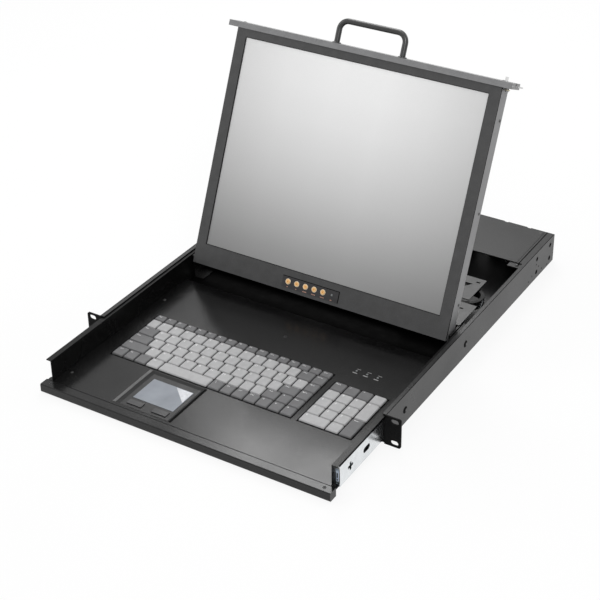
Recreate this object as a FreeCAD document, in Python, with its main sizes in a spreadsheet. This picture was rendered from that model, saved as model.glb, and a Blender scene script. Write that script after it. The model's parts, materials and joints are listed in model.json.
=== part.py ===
import FreeCAD, Part
import math
import os
import re
import Sketcher

# A 1U rack console drawer: a steel housing with ball bearing slides, a pull-out tray that
# carries a keyboard, a keypad and a touchpad, and a display that folds up out of the tray.
#
# Millimetres. X runs to the right, Y runs back into the rack and Z runs up. The origin is the
# centre of the rack ears' bolt pattern, on the ears' front face. The drawer is modelled partly
# pulled out, with the display raised and leaning back.

# Driving dimensions, one cell each in the document's spreadsheet.
SIZES = {
    # housing
    "display_room": 17.0,
    "front_inset": 2.5,
    "housing_height": 43.6,
    "housing_depth": 515.0,
    "sheet": 1.2,
    "front_flange": 4.8,
    "rear_flange": 14.5,
    "cover_depth": 102.0,
    "cover_ledge": 10.0,
    "cover_ledge_lead": 12.0,
    "cover_gap": 0.5,
    "cover_notch": 6.0,
    "cover_notch_depth": 1.5,
    "cover_notch_first": 143.0,
    "cover_notch_pitch": 37.0,
    # rack ears
    "ear_reach": 20.8,
    "ear_plate": 2.0,
    "ear_hole_reach": 12.05,
    "ear_hole_rise": 31.75,
    "ear_slot_width": 6.8,
    "ear_slot_length": 10.8,
    "ear_corner": 3.0,
    # holes in the side walls for the rear brackets
    "rear_hole_radius": 2.6,
    "rear_hole_pitch": 47.0,
    "rear_hole_rise": 21.8,
    "rear_hole_inset": 38.0,
    # slides: outer, middle and inner rail on each side, with a ball race between two rails
    "slide_space": 8.0,
    "rail_sheet": 1.0,
    "rail_gap": 0.6,
    "rail_race": 1.5,
    "outer_rail_height": 35.0,
    "outer_rail_start": 14.0,
    "outer_rail_length": 386.0,
    "middle_rail_start": -107.0,
    "middle_rail_length": 380.0,
    "inner_rail_start": -107.5,
    "inner_rail_length": 337.0,
    "stop_cut": 12.0,
    "stop_cut_width": 4.0,
    "stop_cut_place": 25.0,
    "lever_cut": 16.0,
    "lever_cut_height": 8.0,
    "lever_cut_place": 64.0,
    "cage_gap": 0.3,
    "cage_inset": 0.8,
    "outer_cage_start": 65.0,
    "outer_cage_length": 150.0,
    "inner_cage_start": 0.0,
    "inner_cage_length": 120.0,
    # tray and deck, heights above the housing's underside
    "tray_floor": 3.0,
    "tray_top_gap": 0.8,
    "tray_front": -113.5,
    "tray_tail": 23.0,
    "tray_back_wall": 16.0,
    "tray_flange": 6.7,
    "deck_top": 11.0,
    "deck_break": 32.0,
    "deck_gap": 0.5,
    # front bezel of the tray
    "bezel_front": -130.0,
    "bezel_depth": 13.5,
    "bezel_low": 0.4,
    "bezel_lip": 1.9,
    "bezel_wall": 1.5,
    "bezel_chamfer": 1.2,
    "bezel_tab": 8.2,
    "bezel_foot": 24.0,
    "bezel_foot_pitch": 150.0,
    # keys, heights from the deck's top
    "key_pitch": 19.1,
    "key_row": 19.0,
    "key_gap": 1.0,
    "key_taper": 1.3,
    "key_rise": 2.2,
    "key_skirt": 0.4,
    "key_stem": 6.0,
    "key_stem_gap": 0.4,
    "key_travel": 2.0,
    "key_base_drop": 3.0,
    "key_stem_dip": 1.2,
    "function_row": 13.0,
    "keyboard_left": -183.5,
    "keyboard_front": -26.5,
    "keypad_gap": 10.0,
    "keypad_pitch": 19.4,
    "key_opening": 1.2,
    # status lights in the deck
    "light_width": 2.4,
    "light_gap": 0.3,
    "light_first": 119.6,
    "light_pitch": 15.8,
    "light_y": 104.0,
    "light_rise": 0.5,
    "light_length": 4.5,
    # touchpad
    "touch_left": -112.2,
    "touch_width": 84.4,
    "touch_front": -111.8,
    "touch_depth": 83.4,
    "touch_drop": 2.2,
    "touch_slope": 4.0,
    "touch_rim": 0.8,
    "touch_fit": 0.3,
    "pad_left": -100.3,
    "pad_width": 62.5,
    "pad_front": -88.0,
    "pad_depth": 45.5,
    "pad_sink": 1.4,
    "pad_proud": 0.4,
    "click_width": 22.0,
    "click_depth": 9.0,
    "click_front": -102.3,
    "click_inset": 0.4,
    "click_proud": 1.1,
    "click_sink": 1.2,
    "click_gap": 0.35,
    "click_travel": 0.8,
    # display, measured from its front face and its lower edge
    "fold_gap": 1.2,
    "hinge_setback": 17.0,
    "hinge_rise": 8.0,
    "hinge_pin_radius": 4.0,
    "hinge_fit": 0.05,
    "hinge_plate": 3.0,
    "hinge_plate_depth": 26.0,
    "hinge_side_gap": 1.7,
    "hinge_foot": 14.0,
    "hinge_foot_height": 2.0,
    "hinge_pin_reach": 13.0,
    "knuckle_width": 12.0,
    "knuckle_wall": 2.0,
    "display_lean_angle": 23.5,
    "case_depth": 24.0,
    "case_wall": 1.5,
    "screen_width": 376.3,
    "screen_height": 301.1,
    "border_side": 15.35,
    "border_low": 30.0,
    "border_high": 10.9,
    "panel_margin": 6.0,
    "panel_depth": 11.8,
    "panel_gap": 0.2,
    "bar_height": 8.0,
    "bar_proud": 2.5,
    "handle_span": 101.6,
    "handle_reach": 32.0,
    "handle_radius": 4.0,
    "handle_bend": 13.0,
    # display controls
    "control_left": -54.2,
    "control_width": 90.2,
    "control_low": 4.6,
    "control_height": 16.0,
    "control_plate": 0.6,
    "control_margin": 3.0,
    "button_radius": 3.2,
    "button_rise": 1.2,
    "button_gap": 0.35,
    "button_pitch": 14.1,
    "button_first": -44.7,
    "button_proud": 1.0,
    "button_root": 1.0,
    "button_travel": 0.8,
    "button_light": 2.6,
    # latch in the right end of the display's top bar
    "latch_width": 4.0,
    "latch_thick": 2.0,
    "latch_gap": 0.3,
    "latch_depth": 5.0,
    "latch_length": 22.0,
    "latch_reach": 9.0,
    "latch_travel": 8.0,
    "latch_finger": 3.0,
    "latch_finger_rise": 6.0,
    "catch_radius": 2.4,
    "catch_length": 5.0,
    "catch_inset": 11.0,
    # circuit boards and what is on them
    "board_sheet": 1.6,
    "board_rise": 4.0,
    "pillar": 5.0,
    "pillar_inset": 5.0,
    "supply_left": 25.8,
    "supply_width": 79.0,
    "supply_inset": 7.0,
    "supply_depth": 85.0,
    "sink_width": 66.0,
    "sink_thick": 2.0,
    "sink_inset": 11.0,
    "sink_height": 26.2,
    "transformer_width": 28.0,
    "transformer_depth": 32.0,
    "transformer_inset": 28.0,
    "transformer_height": 21.2,
    "choke_width": 24.0,
    "choke_depth": 18.0,
    "choke_inset": 66.0,
    "choke_height": 13.2,
    "capacitor_width": 13.0,
    "capacitor_inset": 34.0,
    "capacitor_height": 24.2,
    "controller_left": -186.0,
    "controller_width": 141.0,
    "controller_inset": 9.0,
    "controller_depth": 65.0,
    "controller_drop": 2.0,
    "chip": 24.0,
    "chip_height": 2.0,
    "chip_inset": 36.0,
    "port_base_height": 9.0,
    "driver_left": -90.0,
    "driver_width": 140.0,
    "driver_rise": 40.0,
    "driver_height": 100.0,
    "driver_gap": 2.0,
    # rear panel: a mains socket turned on its side and a rocker switch, in one moulding
    "panel_fit": 0.2,
    "inlet_left": 154.1,
    "inlet_width": 41.3,
    "inlet_height": 29.2,
    "inlet_flange": 2.0,
    "inlet_body": 25.0,
    "inlet_rim": 1.2,
    "inlet_fit": 0.3,
    "socket_width": 16.4,
    "socket_height": 24.6,
    "socket_depth": 14.0,
    "socket_wall": 3.6,
    "socket_chamfer": 5.0,
    "blade_width": 4.0,
    "blade_thick": 2.0,
    "blade_pitch": 14.0,
    "blade_offset": 7.0,
    "blade_recess": 3.0,
    "rocker_width": 10.8,
    "rocker_height": 15.2,
    "rocker_depth": 10.0,
    "rocker_margin": 6.0,
    "rocker_pivot": 1.5,
    "rocker_throw_angle": 6.0,
    "rocker_gap": 0.4,
    "rocker_swing": 0.85,
    "rocker_pin_radius": 1.5,
    "rocker_pin_reach": 1.6,
    "vent_hole": 4.2,
    "vent_pitch": 6.0,
    "vent_centre": 70.8,
    "vent_rise": 0.8,
    "vent_columns": 15,
    "vent_rows": 5,
    "port_rise": 0.7,
    "port_fit": 0.4,
    "dvi_centre": -107.0,
    "dvi_width": 26.0,
    "dvi_height": 9.4,
    "dvi_proud": 5.0,
    "dvi_wall": 0.8,
    "dvi_nut_gap": 5.5,
    "nut_radius": 2.9,
    "nut_height": 4.5,
    "usb_centre": -162.0,
    "usb_width": 14.0,
    "usb_height": 6.4,
    "usb_wall": 0.6,
    "usb_proud": 1.0,
    "usb_depth": 10.0,
    "port_body": 14.0,
    # cable shelf behind the display
    "shelf_inset": 17.5,
    "shelf_width": 93.0,
    "shelf_drop": 7.6,
    "shelf_length": 122.0,
    "shelf_slot": 60.0,
    "shelf_slot_width": 10.0,
    "shelf_notch": 17.0,
    "tie_slot": 3.0,
    "cable_thick": 5.0,
    "cable_width": 12.0,
    "cable_loop": 40.0,
    "cable_clamp": 53.0,
    "clamp_length": 8.0,
    "clamp_wall": 1.5,
}

# Lengths that several pieces share, written once from the driving dimensions.
BOTTOM = "(-housing_height / 2)"
CASE_SIDE = "(screen_width / 2 + border_side)"
WALL = f"({CASE_SIDE} + display_room)"
WALL_INNER = f"({WALL} - sheet)"
FRONT_END = f"({WALL} - front_inset)"
LID = "(housing_height - sheet)"
TRAY_SIDE = f"({WALL_INNER} - slide_space)"
TRAY_INNER = f"({TRAY_SIDE} - sheet)"
TRAY_TOP = "(housing_height - sheet - tray_top_gap)"
COVER_FRONT = "(housing_depth - cover_depth)"
COVER_SIDE = f"({WALL} - rear_flange - cover_gap)"
FLOOR_TOP = "(tray_floor + sheet)"
MIDDLE_RAIL_HEIGHT = "(outer_rail_height - 2 * rail_sheet - 2 * rail_race)"
INNER_RAIL_HEIGHT = "(outer_rail_height - 4 * rail_sheet - 4 * rail_race)"
BEZEL_BACK = "(bezel_front + bezel_depth)"
BEZEL_HIGH = "(deck_top + bezel_lip)"
FACE = "(-hinge_setback)"
CASE_BACK = "(case_depth - hinge_setback)"
CASE_LOW = "(-hinge_rise)"
SCREEN_LOW = "(border_low - hinge_rise)"
SCREEN_HIGH = "(border_low - hinge_rise + screen_height)"
CASE_HIGH = "(border_low - hinge_rise + screen_height + border_high)"
BAR_HIGH = "(border_low - hinge_rise + screen_height + border_high + bar_height)"
BAR_MIDDLE = "((case_depth - bar_proud) / 2 - hinge_setback)"
CONTROL_MIDDLE = "(control_low - hinge_rise + control_height / 2 + button_rise)"
# folded, the display lies level: its back under the housing's lid, its bar over the bezel
HINGE_Y = f"(bezel_front + {BAR_HIGH})"
HINGE_Z = f"(housing_height / 2 - fold_gap - {CASE_BACK})"
TRAY_BACK = f"({HINGE_Y} + tray_tail)"
DECK_BACK = f"({HINGE_Y} - deck_break)"
KEY_TOP = "(deck_top + key_rise)"
KEY_SKIRT = "(deck_top - key_skirt)"
KEY_BASE = "(deck_top - key_base_drop)"
# how far a cut runs past the faces that it goes through
PAST = 1
# radius of the ring that a sketch's corners start from
ROUGH = 50

os.makedirs("parts", exist_ok=True)
doc = FreeCAD.newDocument("console_drawer")
sheet = doc.addObject("Spreadsheet::Sheet", "Sizes")
for row, (alias, value) in enumerate(SIZES.items(), start=1):
    sheet.set(f"A{row}", alias)
    sheet.set(f"B{row}", str(value))
    sheet.setAlias(f"B{row}", alias)
doc.recompute()

nodes = []
names = {}


def sized(text):
    """An expression in which each driving dimension's name reads its spreadsheet cell."""
    def cell(word):
        return "Sizes." + word.group(0) if word.group(0) in SIZES else word.group(0)
    return re.sub(r"[a-z][a-z0-9_]*", cell, str(text))


def up(height):
    """A height above the housing's underside, as a Z in the part's frame."""
    return f"({BOTTOM} + {height})"


def add(kind, name):
    """A document object with a name of its own."""
    names[name] = names.get(name, 0) + 1
    return doc.addObject(kind, f"{name}_{names[name]}")


def keep(piece, node):
    """Marks a finished sub-part: its label is its node's name and its file's name."""
    piece.Label = node
    nodes.append(piece)
    return piece


def block(x, y, z, name="block"):
    """A box between a low and a high value on each axis."""
    piece = add("Part::Box", name)
    for axis, side, (low, high) in zip("xyz", ("Length", "Width", "Height"), (x, y, z)):
        piece.setExpression(side, sized(f"({high}) - ({low})"))
        piece.setExpression(f"Placement.Base.{axis}", sized(low))
    return piece


# How a cylinder, which stands along Z, is turned to lie along each axis.
TURNS = {
    "x": FreeCAD.Rotation(FreeCAD.Vector(0, 1, 0), 90),
    "y": FreeCAD.Rotation(FreeCAD.Vector(1, 0, 0), -90),
    "z": FreeCAD.Rotation(),
}


def square(x, y, half, z, name):
    """An upright square post about x and y."""
    return block((f"{x} - ({half})", f"{x} + ({half})"), (f"{y} - ({half})", f"{y} + ({half})"),
                 z, name)


# A wedge turned so that its own Y points up.
UPRIGHT = FreeCAD.Rotation(FreeCAD.Vector(1, 0, 0), 90)


def rod(axis, across, span, radius, name="rod", flats=0):
    """A cylinder along one axis, or a prism of that many flats round it.

    across gives its centre on the other two axes, in X, Y, Z order.
    """
    piece = add("Part::Prism" if flats else "Part::Cylinder", name)
    if flats:
        piece.Polygon = int(flats)
    piece.Placement = FreeCAD.Placement(FreeCAD.Vector(), TURNS[axis])
    base = list(across)
    base.insert("xyz".index(axis), span[0])
    for letter, value in zip("xyz", base):
        piece.setExpression(f"Placement.Base.{letter}", sized(value))
    piece.setExpression("Circumradius" if flats else "Radius", sized(radius))
    piece.setExpression("Height", sized(f"({span[1]}) - ({span[0]})"))
    return piece


def fuse(pieces, name="union"):
    whole = add("Part::MultiFuse", name)
    whole.Shapes = pieces
    return whole


def group(pieces, name="group"):
    """Separate solids kept as one object."""
    whole = add("Part::Compound", name)
    whole.Links = pieces
    return whole


def cut(base, tools, name="cut"):
    result = add("Part::Cut", name)
    result.Base = base
    result.Tool = tools[0] if len(tools) == 1 else fuse(tools, name + "_tool")
    return result


PLANES = {"XZ_Plane": "y", "YZ_Plane": "x", "XY_Plane": "z"}


def profile(plane, corners, span, name="profile"):
    """A body whose pad runs a closed outline of straight edges from one value to another."""
    body = add("PartDesign::Body", name)
    support = next(item for item in body.Origin.OriginFeatures if item.Role == plane)
    outline = body.newObject("Sketcher::SketchObject", name + "_outline")
    outline.AttachmentSupport = (support, [""])
    outline.MapMode = "FlatFace"
    count = len(corners)
    # a rough ring of corners, which the constraints then pull to their real places
    turn = 2 * math.pi / count
    ring = [FreeCAD.Vector(ROUGH * math.cos(i * turn), ROUGH * math.sin(i * turn))
            for i in range(count)]
    for i in range(count):
        outline.addGeometry(Part.LineSegment(ring[i], ring[(i + 1) % count]), False)
    for i in range(count):
        outline.addConstraint(Sketcher.Constraint("Coincident", i, 2, (i + 1) % count, 1))
    for i, corner in enumerate(corners):
        for kind, start, value in zip(("DistanceX", "DistanceY"), (ring[i].x, ring[i].y), corner):
            index = outline.addConstraint(Sketcher.Constraint(kind, -1, 1, i, 1, start))
            outline.setExpression(f"Constraints[{index}]", sized(value))
    pad = body.newObject("PartDesign::Pad", name + "_pad")
    pad.Profile = outline
    pad.Reversed = plane == "XZ_Plane"
    pad.setExpression("Length", sized(f"({span[1]}) - ({span[0]})"))
    outline.Visibility = False
    body.setExpression(f"Placement.Base.{PLANES[plane]}", sized(span[0]))
    return body


def mirrored(side, x):
    """The same X on the left (side -1) or the right (side 1)."""
    return f"({side} * ({x}))"


def span_on(side, low, high):
    """A low and high X, from a span on the right, on the left or the right."""
    return (mirrored(side, low), mirrored(side, high)) if side > 0 else \
        (mirrored(side, high), mirrored(side, low))


def slot(axis, across, span, width, length, name="slot"):
    """A slotted hole whose straight sides run along X."""
    x, z = across
    half = f"(({length} - {width}) / 2)"
    left = rod(axis, (f"{x} - {half}", z), span, f"{width} / 2", name)
    right = rod(axis, (f"{x} + {half}", z), span, f"{width} / 2", name)
    middle = block((f"{x} - {half}", f"{x} + {half}"), span,
                   (f"{z} - {width} / 2", f"{z} + {width} / 2"), name)
    return fuse([left, right, middle], name)


SIDES = (("left", -1), ("right", 1))

# ---------------------------------------------------------------- housing

# The shell is one folded sheet: a floor, two walls and a narrow flange turned in along the top.
shell_outline = [
    (f"-{WALL}", BOTTOM),
    (WALL, BOTTOM),
    (WALL, up("housing_height")),
    (f"{WALL_INNER} - front_flange", up("housing_height")),
    (f"{WALL_INNER} - front_flange", up(LID)),
    (WALL_INNER, up(LID)),
    (WALL_INNER, up("sheet")),
    (f"-{WALL_INNER}", up("sheet")),
    (f"-{WALL_INNER}", up(LID)),
    (f"-{WALL_INNER} + front_flange", up(LID)),
    (f"-{WALL_INNER} + front_flange", up("housing_height")),
    (f"-{WALL}", up("housing_height")),
]
shell_parts = [profile("XZ_Plane", shell_outline, ("ear_plate", "housing_depth"), "shell")]
for side_name, side in SIDES:
    # over the rear bay the flange is wider, and a ledge one sheet lower carries the cover
    flange = span_on(side, f"{WALL} - rear_flange", WALL_INNER)
    ledge = span_on(side, f"{WALL} - rear_flange - cover_ledge", WALL_INNER)
    shell_parts.append(block(flange, (COVER_FRONT, "housing_depth"),
                             (up(LID), up("housing_height")), "flange"))
    shell_parts.append(block(ledge, (f"{COVER_FRONT} - cover_ledge_lead", "housing_depth"),
                             (up(f"{LID} - sheet"), up(LID)), "ledge"))
REAR_HOLES = ["(housing_depth - rear_hole_inset - rear_hole_pitch / 2)",
              "(housing_depth - rear_hole_inset + rear_hole_pitch / 2)"]
wall_holes = []
for side_name, side in SIDES:
    through = span_on(side, f"{WALL_INNER} - {PAST}", f"{WALL} + {PAST}")
    for y in REAR_HOLES:
        for z in ("-rear_hole_rise / 2", "rear_hole_rise / 2"):
            wall_holes.append(rod("x", (y, z), through, "rear_hole_radius", "wall_hole"))
keep(cut(fuse(shell_parts, "shell"), wall_holes, "housing_shell"), "housing_shell")

cover = block((f"-{COVER_SIDE}", COVER_SIDE), (COVER_FRONT, "housing_depth"),
              (up(LID), up("housing_height")), "cover")
cover_cuts = []
for side_name, side in SIDES:
    for number in range(2):
        x = f"(cover_notch_first + {number} * cover_notch_pitch)"
        notch = span_on(side, f"{x} - cover_notch / 2", f"{x} + cover_notch / 2")
        cover_cuts.append(block(notch, ("housing_depth - cover_notch_depth",
                                        f"housing_depth + {PAST}"),
                                (up(f"{LID} - {PAST}"), up(f"housing_height + {PAST}")),
                                "cover_notch"))
keep(cut(cover, cover_cuts, "rear_cover"), "rear_cover")

for side_name, side in SIDES:
    plate = block(span_on(side, f"{WALL_INNER} - {PAST}", f"{WALL} + ear_reach"), ("0", "ear_plate"),
                  (BOTTOM, up("housing_height")), "ear_plate")
    slots = [slot("y", (mirrored(side, f"{WALL} + ear_hole_reach"), f"{sign} * ear_hole_rise / 2"),
                  (f"-{PAST}", f"ear_plate + {PAST}"), "ear_slot_width", "ear_slot_length",
                  "ear_slot")
             for sign in (-1, 1)]
    ear = cut(plate, slots, f"{side_name}_ear_cut")
    doc.recompute()
    rounded = add("Part::Fillet", f"{side_name}_ear_corners")
    rounded.Base = ear
    outer = max(abs(vertex.X) for vertex in ear.Shape.Vertexes)
    corners = []
    for number, edge in enumerate(ear.Shape.Edges, start=1):
        at_corner = all(abs(abs(v.X) - outer) < 0.01 for v in edge.Vertexes)
        if at_corner and abs(edge.Vertexes[0].Y - edge.Vertexes[-1].Y) > 0.5:
            corners.append((number, SIZES["ear_corner"], SIZES["ear_corner"]))
    rounded.Edges = corners
    keep(rounded, f"{side_name}_ear")

# ---------------------------------------------------------------- slides


def channel(side, web, tip, height, span, name):
    """A C-shaped rail: a web between two X values and flanges that reach in to the tip."""
    half = f"({height} / 2)"
    back, face = web
    corners = [
        (mirrored(side, back), f"-{half}"),
        (mirrored(side, back), half),
        (mirrored(side, tip), half),
        (mirrored(side, tip), f"{half} - rail_sheet"),
        (mirrored(side, face), f"{half} - rail_sheet"),
        (mirrored(side, face), f"-{half} + rail_sheet"),
        (mirrored(side, tip), f"-{half} + rail_sheet"),
        (mirrored(side, tip), f"-{half}"),
    ]
    return profile("XZ_Plane", corners, span, name)


RAIL_TIP = f"({TRAY_SIDE} + rail_gap)"
MIDDLE_BACK = f"({WALL_INNER} - rail_sheet - rail_gap)"
INNER_TIP = f"({MIDDLE_BACK} - rail_sheet - rail_gap)"
for side_name, side in SIDES:
    keep(channel(side, (WALL_INNER, f"{WALL_INNER} - rail_sheet"), RAIL_TIP, "outer_rail_height",
                 ("outer_rail_start", "outer_rail_start + outer_rail_length"),
                 f"{side_name}_outer_rail"), f"{side_name}_outer_rail")

    # near its front end the middle rail has a stop's cross-shaped cut and a lever's round-ended one
    middle_rail = channel(side, (MIDDLE_BACK, f"{MIDDLE_BACK} - rail_sheet"), RAIL_TIP,
                          MIDDLE_RAIL_HEIGHT,
                          ("middle_rail_start", "middle_rail_start + middle_rail_length"),
                          f"{side_name}_middle_rail")
    through = span_on(side, f"{MIDDLE_BACK} - rail_sheet - {PAST}", f"{MIDDLE_BACK} + {PAST}")
    stop_y = "(middle_rail_start + stop_cut_place)"
    lever_y = "(middle_rail_start + lever_cut_place)"
    lever_half = "((lever_cut - lever_cut_height) / 2)"
    windows = []
    for long, high in (("stop_cut_width", "stop_cut"), ("stop_cut", "stop_cut_width")):
        windows.append(block(through, (f"{stop_y} - {long} / 2", f"{stop_y} + {long} / 2"),
                             (f"-{high} / 2", f"{high} / 2"), "stop_cut"))
    for y in (f"{lever_y} - {lever_half}", f"{lever_y} + {lever_half}"):
        windows.append(rod("x", (y, "0"), through, "lever_cut_height / 2", "lever_cut"))
    windows.append(block(through, (f"{lever_y} - {lever_half}", f"{lever_y} + {lever_half}"),
                         ("-lever_cut_height / 2", "lever_cut_height / 2"), "lever_cut"))
    keep(cut(middle_rail, windows, f"{side_name}_middle_rail_cut"), f"{side_name}_middle_rail")

    keep(channel(side, (TRAY_SIDE, f"{TRAY_SIDE} + rail_sheet"), INNER_TIP, INNER_RAIL_HEIGHT,
                 ("inner_rail_start", "inner_rail_start + inner_rail_length"),
                 f"{side_name}_inner_rail"), f"{side_name}_inner_rail")


def ball_cage(low, high, x, span, name):
    """Four ball retainer strips, one in each race between two rails' flanges."""
    strips = []
    for side_name, side in SIDES:
        for sign in (-1, 1):
            edges = (f"{low} + cage_gap", f"{high} - cage_gap")
            z = tuple(mirrored(sign, edge) for edge in (edges if sign > 0 else edges[::-1]))
            strip = block(span_on(side, *x), span, z, name + "_strip")
            strips.append(strip)
    return group(strips, name)


keep(ball_cage(f"{MIDDLE_RAIL_HEIGHT} / 2", "outer_rail_height / 2 - rail_sheet",
               (f"{RAIL_TIP} + cage_inset", f"{MIDDLE_BACK} - cage_gap"),
               ("outer_cage_start", "outer_cage_start + outer_cage_length"), "outer_cage"),
     "outer_ball_cages")
keep(ball_cage(f"{INNER_RAIL_HEIGHT} / 2", f"{MIDDLE_RAIL_HEIGHT} / 2 - rail_sheet",
               (f"{RAIL_TIP} + cage_inset", f"{INNER_TIP} - cage_gap"),
               ("inner_cage_start", "inner_cage_start + inner_cage_length"), "inner_cage"),
     "inner_ball_cages")

# ---------------------------------------------------------------- rear panel and its fittings

PORT_Z = "port_rise"
panel = block((f"-{WALL_INNER} + panel_fit", f"{WALL_INNER} - panel_fit"),
              ("housing_depth - sheet", "housing_depth"),
              (up("sheet + panel_fit"), up(f"{LID} - sheet - panel_fit")), "panel")
panel_through = (f"housing_depth - sheet - {PAST}", f"housing_depth + {PAST}")
panel_cuts = [
    block(("inlet_left + inlet_rim", "inlet_left + inlet_width - inlet_rim"), panel_through,
          ("inlet_rim - inlet_height / 2", "inlet_height / 2 - inlet_rim"), "inlet_hole"),
    block(("dvi_centre - dvi_width / 2 - port_fit", "dvi_centre + dvi_width / 2 + port_fit"),
          panel_through, (f"{PORT_Z} - dvi_height / 2 - port_fit",
                          f"{PORT_Z} + dvi_height / 2 + port_fit"), "dvi_hole"),
    block(("usb_centre - usb_width / 2 - port_fit", "usb_centre + usb_width / 2 + port_fit"),
          panel_through, (f"{PORT_Z} - usb_height / 2 - port_fit",
                          f"{PORT_Z} + usb_height / 2 + port_fit"), "usb_hole"),
]
columns = int(SIZES["vent_columns"])
rows = int(SIZES["vent_rows"])
for column in range(columns):
    for line in range(rows):
        x = f"(vent_centre + {column - (columns - 1) / 2} * vent_pitch)"
        z = f"(vent_rise + {line - (rows - 1) / 2} * vent_pitch)"
        panel_cuts.append(block((f"{x} - vent_hole / 2", f"{x} + vent_hole / 2"), panel_through,
                                (f"{z} - vent_hole / 2", f"{z} + vent_hole / 2"), "vent"))
keep(cut(panel, [group(panel_cuts, "panel_cuts")], "rear_panel"), "rear_panel")

SOCKET_X = "(inlet_left + inlet_width - socket_wall - socket_width / 2)"
ROCKER_X = "(inlet_left + rocker_margin + rocker_width / 2)"
ROCKER_Y = "(housing_depth - rocker_pivot)"
INLET_FACE = "(housing_depth + inlet_flange)"
rim = block(("inlet_left", "inlet_left + inlet_width"), ("housing_depth", INLET_FACE),
            ("-inlet_height / 2", "inlet_height / 2"), "inlet_rim")
barrel_inset = "(inlet_rim + inlet_fit)"
barrel = block((f"inlet_left + {barrel_inset}", f"inlet_left + inlet_width - {barrel_inset}"),
               ("housing_depth - inlet_body", "housing_depth"),
               (f"{barrel_inset} - inlet_height / 2", f"inlet_height / 2 - {barrel_inset}"),
               "inlet_barrel")
# the socket's two outer corners are cut off, so that the lead's plug goes in one way only
socket_outline = [
    (f"{SOCKET_X} - socket_width / 2", "-socket_height / 2"),
    (f"{SOCKET_X} + socket_width / 2 - socket_chamfer", "-socket_height / 2"),
    (f"{SOCKET_X} + socket_width / 2", "socket_chamfer - socket_height / 2"),
    (f"{SOCKET_X} + socket_width / 2", "socket_height / 2 - socket_chamfer"),
    (f"{SOCKET_X} + socket_width / 2 - socket_chamfer", "socket_height / 2"),
    (f"{SOCKET_X} - socket_width / 2", "socket_height / 2"),
]
socket = profile("XZ_Plane", socket_outline,
                 (f"{INLET_FACE} - socket_depth", f"{INLET_FACE} + {PAST}"), "socket")
window_half = "(rocker_width / 2 + rocker_gap)"
window_rise = "(rocker_height / 2 + rocker_swing)"
window = block((f"{ROCKER_X} - {window_half}", f"{ROCKER_X} + {window_half}"),
               (f"{ROCKER_Y} - rocker_depth * 0.75", f"{INLET_FACE} + {PAST}"),
               (f"-{window_rise}", window_rise), "rocker_window")
pin_half = "(rocker_width / 2 + rocker_pin_reach)"
pivot_hole = rod("x", (ROCKER_Y, "0"), (f"{ROCKER_X} - {pin_half} - hinge_fit",
                                        f"{ROCKER_X} + {pin_half} + hinge_fit"),
                 "rocker_pin_radius + hinge_fit", "pivot_hole")
inlet_body = cut(fuse([rim, barrel], "inlet_moulding"), [socket, window, pivot_hole], "inlet_body")
pins = []
for x, z in (("blade_width", "0"), ("blade_width - blade_offset", "-blade_pitch / 2"),
             ("blade_width - blade_offset", "blade_pitch / 2")):
    pins.append(block((f"{SOCKET_X} + {x} - blade_width / 2", f"{SOCKET_X} + {x} + blade_width / 2"),
                      (f"{INLET_FACE} - socket_depth", f"{INLET_FACE} - blade_recess"),
                      (f"{z} - blade_thick / 2", f"{z} + blade_thick / 2"), "blade"))
keep(group([inlet_body] + pins, "inlet"), "power_inlet")

# The rocker is drawn level about its pivot and then tipped to its off position.
rocker_outline = [
    ("-rocker_depth / 2", "-rocker_depth * 0.3"),
    ("-rocker_depth / 2", "rocker_depth * 0.3"),
    ("0", "rocker_height / 2"),
    ("rocker_depth / 2", "rocker_height / 2 - rocker_gap"),
    ("rocker_depth * 0.32", "0"),
    ("rocker_depth / 2", "rocker_gap - rocker_height / 2"),
    ("0", "-rocker_height / 2"),
]
rocker = profile("YZ_Plane", rocker_outline, ("-rocker_width / 2", "rocker_width / 2"), "rocker")
rocker_pin = rod("x", ("0", "0"), (f"-{pin_half}", pin_half), "rocker_pin_radius", "rocker_pin")
rocker_place = group([fuse([rocker, rocker_pin], "rocker")], "rocker_place")
tipped = FreeCAD.Rotation(FreeCAD.Vector(1, 0, 0), 1)
rocker_place.Placement = FreeCAD.Placement(FreeCAD.Vector(), tipped)
rocker_place.setExpression("Placement.Rotation.Angle", sized("rocker_throw_angle"))
rocker_place.setExpression("Placement.Base.x", sized(ROCKER_X))
rocker_place.setExpression("Placement.Base.y", sized(ROCKER_Y))
keep(rocker_place, "power_rocker")


def connector(centre, width, height, wall, proud, depth, insert, name):
    """A metal-shelled socket through the panel: its shell, hollow at the mouth, and its insert."""
    z = (f"{PORT_Z} - {height} / 2", f"{PORT_Z} + {height} / 2")
    shell = block((f"{centre} - {width} / 2", f"{centre} + {width} / 2"),
                  ("housing_depth - port_body", f"housing_depth + {proud}"), z, name + "_shell")
    mouth = block((f"{centre} - {width} / 2 + {wall}", f"{centre} + {width} / 2 - {wall}"),
                  (f"housing_depth + {proud} - {depth}", f"housing_depth + {proud} + {PAST}"),
                  (f"{z[0]} + {wall}", f"{z[1]} - {wall}"), name + "_mouth")
    low, high = insert
    tongue = block((f"{centre} - {width} / 2 + 2 * {wall}", f"{centre} + {width} / 2 - 2 * {wall}"),
                   (f"housing_depth + {proud} - {depth}", f"housing_depth + {proud} - {wall}"),
                   (f"{PORT_Z} + {low}", f"{PORT_Z} + {high}"), name + "_tongue")
    return fuse([cut(shell, [mouth], name), tongue], name)


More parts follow.
